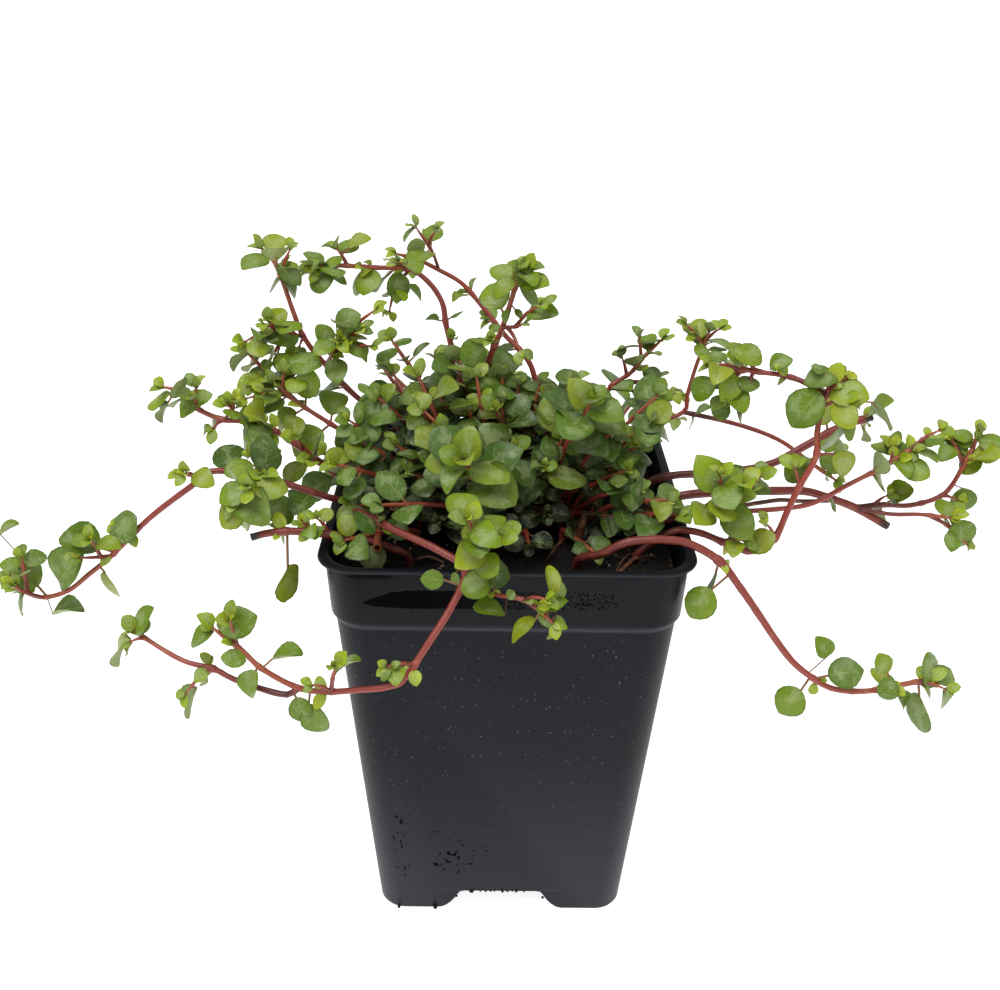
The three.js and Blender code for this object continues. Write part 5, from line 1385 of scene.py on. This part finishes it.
def old_stems():
    """Bare woody stems, some lying on the soil."""
    shoots = []
    for route, girth in OLD_STEMS:
        shoots.append(Grown("old", None, Route(route), [girth, 0.8 * girth], [], None))
    piece = stem_piece("old_stems", shoots)
    write_values(piece, "old", np.ones(len(piece.data.vertices)))
    return piece


def cut_stub(start, end):
    """The open end of a stem that was cut: a short tube with a hollow in its far end."""
    start, end = Vector(start) * MM, Vector(end) * MM
    length = (end - start).length
    bpy.ops.mesh.primitive_cylinder_add(
        vertices=16, radius=STUB_RADIUS * MM, depth=length, location=(0, 0, length / 2))
    stub = named("cut_stub")
    apply_place(stub)
    edit(stub)
    pick(stub, lambda p: p.z > length / MM - 0.01)
    bpy.ops.mesh.inset(thickness=STUB_WALL * MM)
    push(0, 0, -STUB_HOLLOW)
    done()
    inner = [vertex.co.z < length - MM and vertex.co.xy.length < 0.9 * STUB_RADIUS * MM
             for vertex in stub.data.vertices]
    write_values(stub, "cut", inner)
    write_values(stub, "along", np.full(len(inner), 0.95))
    turn = (end - start).to_track_quat("Z", "Y").to_matrix().to_4x4()
    stub.data.transform(Matrix.Translation(start) @ turn)
    smooth(stub, 40)
    return stub


def write_values(piece, name, values):
    attribute = piece.data.attributes.new(name, "FLOAT", "POINT")
    attribute.data.foreach_set("value", np.asarray(values, np.float32))


# Leaves


class Pattern:
    """A leaf modelled once, flat and 1 long: the blade's u, v and w, and the stalk's behind u = 0."""

    def __init__(self, name, columns, rows):
        bpy.ops.mesh.primitive_grid_add(x_subdivisions=columns, y_subdivisions=rows, size=1)
        blade = named(name)
        modify(blade, "SOLIDIFY", thickness=1, offset=0)
        for vertex in blade.data.vertices:
            across, along, face = vertex.co
            rim = max(abs(across), abs(along)) > 0.499
            vertex.co = (0.5 + 0.5 * math.sin(math.pi * along), 2 * across, 0 if rim else 2 * face)
        tidy_faces(blade)
        stalk = self.stalk()
        under = blade.data.attributes.new("under", "FLOAT", "FACE")
        for face, value in zip(blade.data.polygons, under.data):
            value.value = 1 if face.center.z < 0 else 0
        self.piece = joined([blade, stalk], name)
        points = np.array([vertex.co for vertex in self.piece.data.vertices])
        self.u, self.v, self.w = points.T
        self.is_stalk = self.u > 1.5
        self.u = np.where(self.is_stalk, self.u - 3, self.u)
        uv = self.piece.data.uv_layers.new(name="leaf")
        for loop, spot in zip(self.piece.data.loops, uv.data):
            index = loop.vertex_index
            spot.uv = (self.u[index] - (2 if self.is_stalk[index] else 0), 0.5 + 0.5 * self.v[index])

    @staticmethod
    def stalk():
        """A five-sided stalk from the stem, at 2, to the blade, at 3, and on under it."""
        bpy.ops.mesh.primitive_circle_add(vertices=5, radius=1, fill_type="NGON")
        stalk = named("stalk_pattern")
        edit(stalk)
        bpy.ops.mesh.extrude_region_move(TRANSFORM_OT_translate={"value": (0, 0, 1)})
        bpy.ops.mesh.extrude_region_move(TRANSFORM_OT_translate={"value": (0, 0, 0.4)})
        bpy.ops.transform.resize(value=(0.3, 0.3, 1), center_override=(0, 0, 1.4))
        done()
        stalk.data.transform(Matrix(((0, 0, 1, 2), (0, 1, 0, 0), (-1, 0, 0, 0), (0, 0, 0, 1))))
        tidy_faces(stalk)
        stalk.data.attributes.new("under", "FLOAT", "FACE")
        return stalk


def blade_half(u, broad, point):
    """Half the blade's width along its length: a round blade with a wedge foot and a blunt point."""
    round_half = 2 * np.sqrt(np.clip(u * (1 - u), 0, 1))
    sharp = np.where(u < 0.5, 1.2, 1 + point)
    return 0.5 * broad * (0.97 * round_half**sharp + 0.03)


def lay_leaf(pattern, leaf):
    """A copy of the pattern on its place: bent, folded and a little waved."""
    u, v, w = pattern.u, pattern.v, pattern.w
    young = 1 - min(1, leaf.age * 2.5)
    broad = BLADE_WIDTH * (1 + whim(0.1)) - 0.12 * young
    fold = 0.2 + whim(0.18) + 0.35 * young
    cup = whim(0.9)
    wave = whim(0.03)
    phase = whim(3)
    twist = whim(0.4)
    hook = 0.25 + whim(0.35)
    length = leaf.blade
    edge = np.abs(v)
    side = v * blade_half(np.clip(u, 0, 1), broad, 0.45 + whim(0.35))
    rise = fold * np.abs(side) + cup * side**2 + twist * u * side + wave * np.sin(8 * u + phase) * edge
    rise = rise - DROOP * u**2 - hook * np.clip(u - 0.5, 0, 1) ** 2
    thick = 0.5 * BLADE_THICK * min(1, 0.4 + length / 12)
    blade_u = leaf.stalk + u * length
    blade_w = rise * length + w * thick
    stalk_u = leaf.stalk + np.clip(u, 0, 1) * length
    stalk_bend = np.where(u < 0, 0, -DROOP * u**2 * length - 0.1)
    radius = STALK_RADIUS * min(1.2, 0.5 + length / 20)
    x = np.where(pattern.is_stalk, stalk_u, blade_u)
    y = np.where(pattern.is_stalk, v * radius, side * length)
    z = np.where(pattern.is_stalk, w * radius + stalk_bend, blade_w)
    roll = whim(leaf.tilt)
    across = leaf.across * np.cos(roll) + leaf.facing * np.sin(roll)
    facing = leaf.facing * np.cos(roll) - leaf.across * np.sin(roll)
    axes = np.array([leaf.along, across, facing])
    places = leaf.root + np.stack([x, y, z], axis=1) @ axes
    places += np.clip(u, -1, 0)[:, None] * (leaf.point(leaf.stalk) - leaf.stem)
    twin = copy_of(pattern.piece)
    twin.data.vertices.foreach_set("co", (places * MM).ravel().astype(np.float32))
    # The depth below the clump's dome sets how much painted shade a leaf gets
    values = {"age": leaf.age, "deep": shade_depth(leaf.point(leaf.stalk)), "tone": 0.5 + 0.5 * whim(1)}
    for name, value in values.items():
        write_values(twin, name, np.full(len(places), value))
    return twin


def leaf_piece(name, shoots, broad, small):
    """The leaves of a node's shoots, from the fine pattern or, for small ones, the plain one."""
    copies = []
    for leaf in [leaf for shoot in shoots for leaf in shoot.leaves]:
        copies.append(lay_leaf(broad if leaf.blade > BROAD_BLADE else small, leaf))
    piece = joined(copies, name)
    smooth(piece, 50)
    return piece


# Materials. Places in them are in millimetres, but a pattern's scale counts per metre


def linear(value):
    """One channel of a colour on screen, 0 to 255, as light from 0 to 1."""
    value /= 255
    return value / 12.92 if value <= 0.04045 else ((value + 0.055) / 1.055) ** 2.4


def paint(colour):
    """A colour as it looks on screen, 0 to 255, as the linear colour that a shader takes."""
    return (*[linear(value) for value in colour], 1)


def feed(node, inputs):
    """Links a node's sockets to shades and sets them to plain values."""
    for key, value in dict(inputs).items():
        if isinstance(value, Shade):
            value.tree.links.new(value.socket, node.inputs[key])
        else:
            node.inputs[key].default_value = value


class Shade:
    """A socket of a material, so that its values are written as expressions."""

    def __init__(self, tree, socket=None):
        self.tree = tree
        self.socket = socket

    def node(self, kind, settings=(), inputs=(), output=0):
        """A new node of any kind: its settings, then the values or links of its sockets."""
        made = self.tree.nodes.new(kind)
        for name, value in dict(settings).items():
            if name == "stops":
                ramp = made.color_ramp
                while len(ramp.elements) < len(value):
                    ramp.elements.new(0.5)
                for element, (place, *colour) in zip(ramp.elements, value):
                    element.position = place
                    element.color = paint(colour)
            else:
                setattr(made, name, value)
        feed(made, inputs)
        return Shade(self.tree, made.outputs[output])

    def maths(self, operation, *values):
        return self.node("ShaderNodeMath", {"operation": operation}, dict(enumerate(values)))

    def __add__(self, other):
        return self.maths("ADD", self, other)

    def __radd__(self, other):
        return self.maths("ADD", other, self)

    def __sub__(self, other):
        return self.maths("SUBTRACT", self, other)

    def __rsub__(self, other):
        return self.maths("SUBTRACT", other, self)

    def __mul__(self, other):
        return self.maths("MULTIPLY", self, other)

    def __rmul__(self, other):
        return self.maths("MULTIPLY", other, self)

    def __abs__(self):
        return self.maths("ABSOLUTE", self)

    def most(self, other):
        return self.maths("MAXIMUM", self, other)

    def step(self, low, high):
        """0 below low, 1 above high, smooth between them."""
        return self.node("ShaderNodeMapRange", {"interpolation_type": "SMOOTHSTEP"},
                         {"Value": self, "From Min": low, "From Max": high})

    def fade(self, low, high):
        """1 below low, 0 above high, smooth between them."""
        return 1 - self.step(low, high)

    def near(self, middle, low, high):
        """1 closer than low to the middle, 0 farther than high from it."""
        return abs(self - middle).fade(low, high)

    def tint(self, colour, other):
        """One colour where this value is 0, the other where it is 1."""
        other = other if isinstance(other, Shade) else paint(other)
        return self.node("ShaderNodeMix", {"data_type": "RGBA"}, {0: self, 6: colour, 7: other}, 2)

    def ramp(self, stops):
        """Colours listed as [place, red, green, blue]."""
        return self.node("ShaderNodeValToRGB", {"stops": stops}, {0: self})

    def noise(self, place, scale, detail=2, rough=0.5):
        return self.node("ShaderNodeTexNoise", {},
                         {"Vector": place, "Scale": scale, "Detail": detail, "Roughness": rough})

    def voronoi(self, place, scale, output=0):
        return self.node("ShaderNodeTexVoronoi", {}, {"Vector": place, "Scale": scale}, output)

    def value(self, name):
        return self.node("ShaderNodeAttribute", {"attribute_name": name}, {}, 2)

    def split(self, place):
        node = self.node("ShaderNodeSeparateXYZ", {}, {0: place}).socket.node
        return [Shade(self.tree, output) for output in node.outputs]

    def axes(self, place):
        """The x, y and z of a place, in millimetres."""
        return [axis * (1 / MM) for axis in self.split(place)]

    def bump(self, height, depth, strength):
        """The normal of a surface raised by a height from 0 to 1 times depth, in millimetres."""
        return self.node("ShaderNodeBump", {},
                         {"Height": height, "Distance": depth * MM, "Strength": strength})


def new_material(name):
    """A material with its Principled shader, and a Shade to write its values with."""
    material = bpy.data.materials.new(name)
    material.use_nodes = True
    tree = material.node_tree
    return material, tree.nodes["Principled BSDF"], Shade(tree)


def object_place(shade):
    return shade.node("ShaderNodeTexCoord", {}, {}, 3)


def leaf_material():
    """Green by age, with ribs and a painted sheen on top, paler below, with painted shade inside the
    clump, darker deep below its dome.
    """
    material, shader, shade = new_material("leaf")
    place = object_place(shade)
    x, y, z = shade.axes(place)
    age, tone, under = shade.value("age"), shade.value("tone"), shade.value("under")
    u, v, _ = shade.split(shade.node("ShaderNodeUVMap", {"uv_map": "leaf"}))
    edge = abs(v * 2 - 1)
    patches = shade.noise(place, 260, 3)
    grain = shade.noise(place, 2600)
    colour = (age + (patches - 0.5) * 0.5).ramp(LEAF_AGES)
    colour = (tone.step(0.65, 1) * 0.6).tint(colour, LEAF_PALE)
    colour = ((1 - tone).step(0.55, 1) * 0.55).tint(colour, LEAF_DULL)
    # Painted shade: leaves inside the clump turn cooler and darker, and darker still deep below its dome
    inner = abs(x).fade(36, 58) * abs(y).fade(36, 58) * z.fade(164, 182)
    colour = (inner * 0.34).tint(colour, LEAF_INNER_SHADE)
    colour = (shade.value("deep") * 0.94).tint(colour, LEAF_SHADED)
    rib = edge.fade(0.02, 0.1) * u.fade(0.25, 0.8)
    wave = shade.maths("SINE", (u - edge * 0.32) * 26)
    veins = wave.step(0.6, 1) * edge.fade(0.6, 0.95) * u.fade(0.5, 0.9)
    # Painted sheen: pale patches, paler towards the blade's middle, stand in for highlights on the gloss
    middle = edge.fade(0.15, 0.85) * u.near(0.5, 0.1, 0.48)
    sheen = (patches + (grain - 0.5) * 0.5 + middle * 0.12).step(0.52, 0.72)
    colour = (sheen * 0.38).tint(colour, LEAF_PAINTED_SHEEN)
    colour = (rib * 0.34 + veins * 0.08).tint(colour, LEAF_RIB)
    colour = (under * 0.75).tint(colour, LEAF_UNDER)
    colour = (edge.step(0.84, 0.97) * 0.6).tint(colour, LEAF_EDGE)
    colour = u.fade(-0.9, -0.5).tint(colour, LEAF_STALK)
    relief = patches * 0.8 + grain * 0.3 + (1 - rib) * 0.5 + (1 - veins) * 0.3
    feed(shader, {
        "Base Color": colour,
        "Roughness": 0.26 + patches * 0.2 + under * 0.2,
        "Normal": shade.bump(relief, 0.22, 0.9),
        "Specular IOR Level": 0.32,
        "Subsurface Weight": 0.12,
        "Subsurface Radius": (0.4, 0.9, 0.2),
        "Subsurface Scale": 0.8 * MM,
    })
    return material


def stem_material():
    """Red stems, darker at their foot, dry and dark where they are cut."""
    material, shader, shade = new_material("stem")
    place = object_place(shade)
    along, thin = shade.value("along"), shade.value("thin")
    streaks = shade.noise(place, 420, 4, 0.6)
    colour = (along + (streaks - 0.5) * 0.3).ramp(STEM_AGES)
    colour = (thin.step(0.55, 0.8) * 0.3).tint(colour, STEM_THIN)
    colour = (shade.value("cut") + (streaks - 0.5) * 0.5).step(0.35, 0.7).tint(colour, STEM_CUT)
    colour = (shade.value("old") * 0.85).tint(colour, streaks.ramp(STEM_OLD))
    colour = (streaks.step(0.56, 0.7) * 0.25).tint(colour, STEM_STREAK)
    feed(shader, {
        "Base Color": colour,
        "Roughness": 0.28 + streaks * 0.25,
        "Normal": shade.bump(streaks, 0.2, 0.8),
    })
    return material


def pot_material():
    """Dark moulded plastic: wet smear on the collar, splashed soil at its foot, pale dust, painted light
    and highlights.
    """
    material, shader, shade = new_material("pot_plastic")
    place = object_place(shade)
    x, y, z = shade.axes(place)
    cloud = shade.noise(place, 26, 3)
    grain = shade.noise(place, 1500)
    front = y.fade(-40, -36)
    # Painted light: paler towards the foot, as lit by the bright floor
    colour = z.fade(0, 75).tint(cloud.ramp(POT_CLOUD), POT_PAINTED_FLOOR_LIGHT)
    # Painted highlights: pale lines along the ledge, along the lip's front and beside the arches' tops
    ledge_highlight = z.near(COLLAR_FOOT - LEDGE_DROP, 0.2, 1.2)
    lip = z.step(LIP_FOOT - 0.6, LIP_FOOT) * z.fade(POT_HEIGHT - 0.6, POT_HEIGHT) * front
    arch_highlight = z.near(FLOOR_UNDERSIDE, 0.1, 0.6) * abs(x).near(15, 2, 6)
    colour = (ledge_highlight * 0.4 + lip * 0.45 + arch_highlight * 0.25).tint(colour, POT_PAINTED_HIGHLIGHT)
    collar = z.step(COLLAR_FOOT - 0.2, COLLAR_FOOT + 0.8)
    colour = (collar * 0.5).tint(colour, POT_COLLAR)
    tall = shade.node("ShaderNodeMapping", {}, {"Vector": place, "Scale": (1, 1, 0.4)})
    cells = shade.voronoi(tall, DUST_SCALE)
    shown, faint, _ = shade.split(shade.voronoi(tall, DUST_SCALE, 1))
    dust = cells.fade(0.08, 0.22) * shown.step(0.66, 0.68) * (0.15 + faint * faint * 0.7)
    dust = dust * z.fade(106, 110) * cloud.step(0.25, 0.5) * z.step(10, 70)
    colour = (dust * 0.75).tint(colour, POT_DUST)
    feed(shader, {
        "Base Color": colour,
        "Roughness": 0.4 + cloud * 0.08 + dust * 0.3 - collar * 0.08,
        "Normal": shade.bump(grain * 0.3 + cloud * 0.4, 0.12, 0.7),
        "Specular IOR Level": 0.12,
    })
    stain = smear(shade, place).most(splashes(shade, place, tall)) * front
    dark = {"Base Color": paint(POT_STAIN), "Roughness": 0.6, "Specular IOR Level": 0.01}
    stained = shade.node("ShaderNodeBsdfPrincipled", {}, dark)
    clean = Shade(shade.tree, shader.outputs[0])
    both = shade.node("ShaderNodeMixShader", {}, {0: stain, 1: clean, 2: stained})
    feed(shade.tree.nodes["Material Output"], {"Surface": both})
    return material


def smear(shade, place):
    """The wet smear along the collar, solid at its left and in beads at its right."""
    x, _, z = shade.axes(place)
    ragged = shade.noise(place, 420, 3, 0.7)
    beads = shade.voronoi(place, 1300)
    rise = x.step(-43, -26)
    band = (abs(z - SMEAR_HEIGHT - rise * 1.6) - rise * 2.2).fade(-0.6, 1.4)
    reach = band * x.near(-6, 20, 42)
    wet = (reach + (ragged - 0.5) * 0.7).step(0.26, 0.34) * reach.step(0, 0.05)
    bead = wet * (1 - beads.step(0.3, 0.5) * (0.04 + 0.96 * x.step(-22, 15)))
    line = z.near(LIP_FOOT - 1.4, 0.2, 1) * x.near(-36, 3, 9)
    under_lip = (line + (ragged - 0.5) * 1.4).step(0.45, 0.6) * line.step(0, 0.1) * 0.7
    return bead.most(under_lip)


def splashes(shade, place, tall):
    """Splashed soil low on the front: drops, and trails that have run down at the left."""
    x, _, z = shade.axes(place)
    spots = shade.noise(place, 520, 2, 0.6)
    run = shade.noise(tall, 1100, 1)
    patch = x.near(-14, 1, 19) * z.near(23, 2, 20)
    trail = x.near(-31, 1, 4) * z.near(34, 12, 24)
    drops = (spots + patch * 0.17).step(0.77, 0.79)
    stray = (spots + z.fade(20, 70) * 0.05).step(0.79, 0.81)
    trails = (run + trail * 0.1).step(0.74, 0.77) * trail.step(0.05, 0.3)
    return drops.most(stray).most(trails)


def soil_material():
    """Wet dark soil with brown specks and paler bits."""
    material, shader, shade = new_material("soil")
    place = object_place(shade)
    clods = shade.noise(place, 420, 5, 0.7)
    specks = shade.noise(place, 1300)
    colour = (specks.step(0.66, 0.72) * 0.6).tint(clods.ramp(SOIL_CLODS), SOIL_SPECK)
    bits = shade.voronoi(place, 300)
    feed(shader, {
        "Base Color": (bits.fade(0.12, 0.18) * 0.7).tint(colour, SOIL_BIT),
        "Roughness": 0.95 - clods * 0.35,
        "Normal": shade.bump(clods, 0.8, 0.9),
        "Specular IOR Level": 0.25,
    })
    return material


def bit_material():
    material, shader, shade = new_material("pale_bit")
    tone = shade.noise(object_place(shade), 900, 3)
    feed(shader, {
        "Base Color": tone.ramp(BIT_TONES),
        "Normal": shade.bump(tone, 0.3, 0.8),
        "Roughness": 0.8,
    })
    return material


def floor_material():
    material, shader, shade = new_material("pale_floor")
    tone = shade.noise(object_place(shade), 3)
    feed(shader, {
        "Base Color": 0.5 + tone * 0.02,
        "Roughness": 0.8,
        "Specular IOR Level": 0.1,
        "Emission Color": (1, 1, 1, 1),
        "Emission Strength": FLOOR_GLOW,
    })
    return material


# Studio


def place_camera():
    yaw, pitch, roll = CAMERA_YAW, CAMERA_PITCH, CAMERA_ROLL
    ahead = Vector((math.sin(yaw) * math.cos(pitch), math.cos(yaw) * math.cos(pitch), -math.sin(pitch)))
    level = Vector((math.cos(yaw), -math.sin(yaw), 0))
    upright = level.cross(ahead)
    right = level * math.cos(roll) + upright * math.sin(roll)
    up = upright * math.cos(roll) - level * math.sin(roll)
    data = bpy.data.cameras.new("camera")
    data.sensor_width = SENSOR_WIDTH
    data.lens = CAMERA_FOCUS * SENSOR_WIDTH / IMAGE_WIDTH
    data.clip_start = 0.01
    camera = bpy.data.objects.new("camera", data)
    turn = Matrix((right, up, -ahead)).transposed().to_4x4()
    camera.matrix_world = Matrix.Translation(Vector(CAMERA_PLACE) * MM) @ turn
    add_to_scene(camera)
    bpy.context.scene.camera = camera


def soft_sun(name, aim, strength, softness):
    data = bpy.data.lights.new(name, "SUN")
    data.energy = strength
    data.angle = math.radians(softness)
    light = bpy.data.objects.new(name, data)
    light.rotation_euler = Vector(aim).to_track_quat("-Z", "Y").to_euler()
    add_to_scene(light)


def build_studio():
    bpy.ops.mesh.primitive_plane_add(size=FLOOR_SIZE)
    floor = named("floor")
    floor.data.materials.append(floor_material())
    world = bpy.data.worlds.new("studio")
    bpy.context.scene.world = world
    world.use_nodes = True
    background = world.node_tree.nodes["Background"]
    feed(background, {"Color": (1, 1, 1, 1), "Strength": WORLD_LIGHT})
    for sun in SUNS:
        soft_sun(*sun)
    bpy.context.scene.view_settings.view_transform = "Standard"


# The object

deselect()
place_camera()
plants = grow_plant()
hosts = {shoots[0].node: shoots for shoots in plants}
for name, listed in TWIGS:
    grow_twigs(hosts[name], listed)
every_shoot = [shoot for shoots in plants for shoot in shoots]
for shoot in every_shoot:
    shoot.leaves = [leaf for leaf in shoot.leaves if shows(leaf)]
for name, listed in LONE_LEAVES:
    for places in listed:
        place_leaf(hosts[name], *places)
for shoot in every_shoot:
    if shoot.tip:
        add_young_leaves(shoot)
    add_axil_leaves(shoot)
filling = grow_filling()
for shoot in filling:
    add_young_leaves(shoot)

leaf_look = leaf_material()
stem_look = stem_material()
soil_look = soil_material()
broad_leaf = Pattern("broad_leaf", 4, 8)
small_leaf = Pattern("small_leaf", 2, 6)

dress(moulded_pot(), pot_material(), "pot_plastic", "pot")
dress(soil_bed(), soil_look, "soil", "soil")
crumbs = on_soil(crumb_places([shoots[0].root for shoots in plants]), *CRUMB_SIZES)
dress(scattered("soil_crumbs", crumbs + FOOT_BITS), soil_look, "soil")
hidden_bits = [[whim(BITS_REACH), whim(BITS_REACH)] for _ in range(PALE_BITS)]
bits = on_soil(SEEN_BITS + hidden_bits, *BIT_SIZES)
dress(scattered("pale_bits", bits), bit_material(), "soil")
for shoots in plants:
    node = shoots[0].node
    dress(stem_piece(f"{node}_stems", shoots), stem_look, "stem", node)
    dress(leaf_piece(f"{node}_leaves", shoots, broad_leaf, small_leaf), leaf_look, "leaf", node)
dress(stem_piece("inner_stems", filling), stem_look, "stem")
dress(old_stems(), stem_look, "stem")
dress(joined([cut_stub(*ends) for ends in CUT_STUBS], "cut_stubs"), stem_look, "stem")
dress(leaf_piece("inner_leaves", filling, broad_leaf, small_leaf), leaf_look, "leaf")
bpy.data.objects.remove(broad_leaf.piece)
bpy.data.objects.remove(small_leaf.piece)
build_studio()
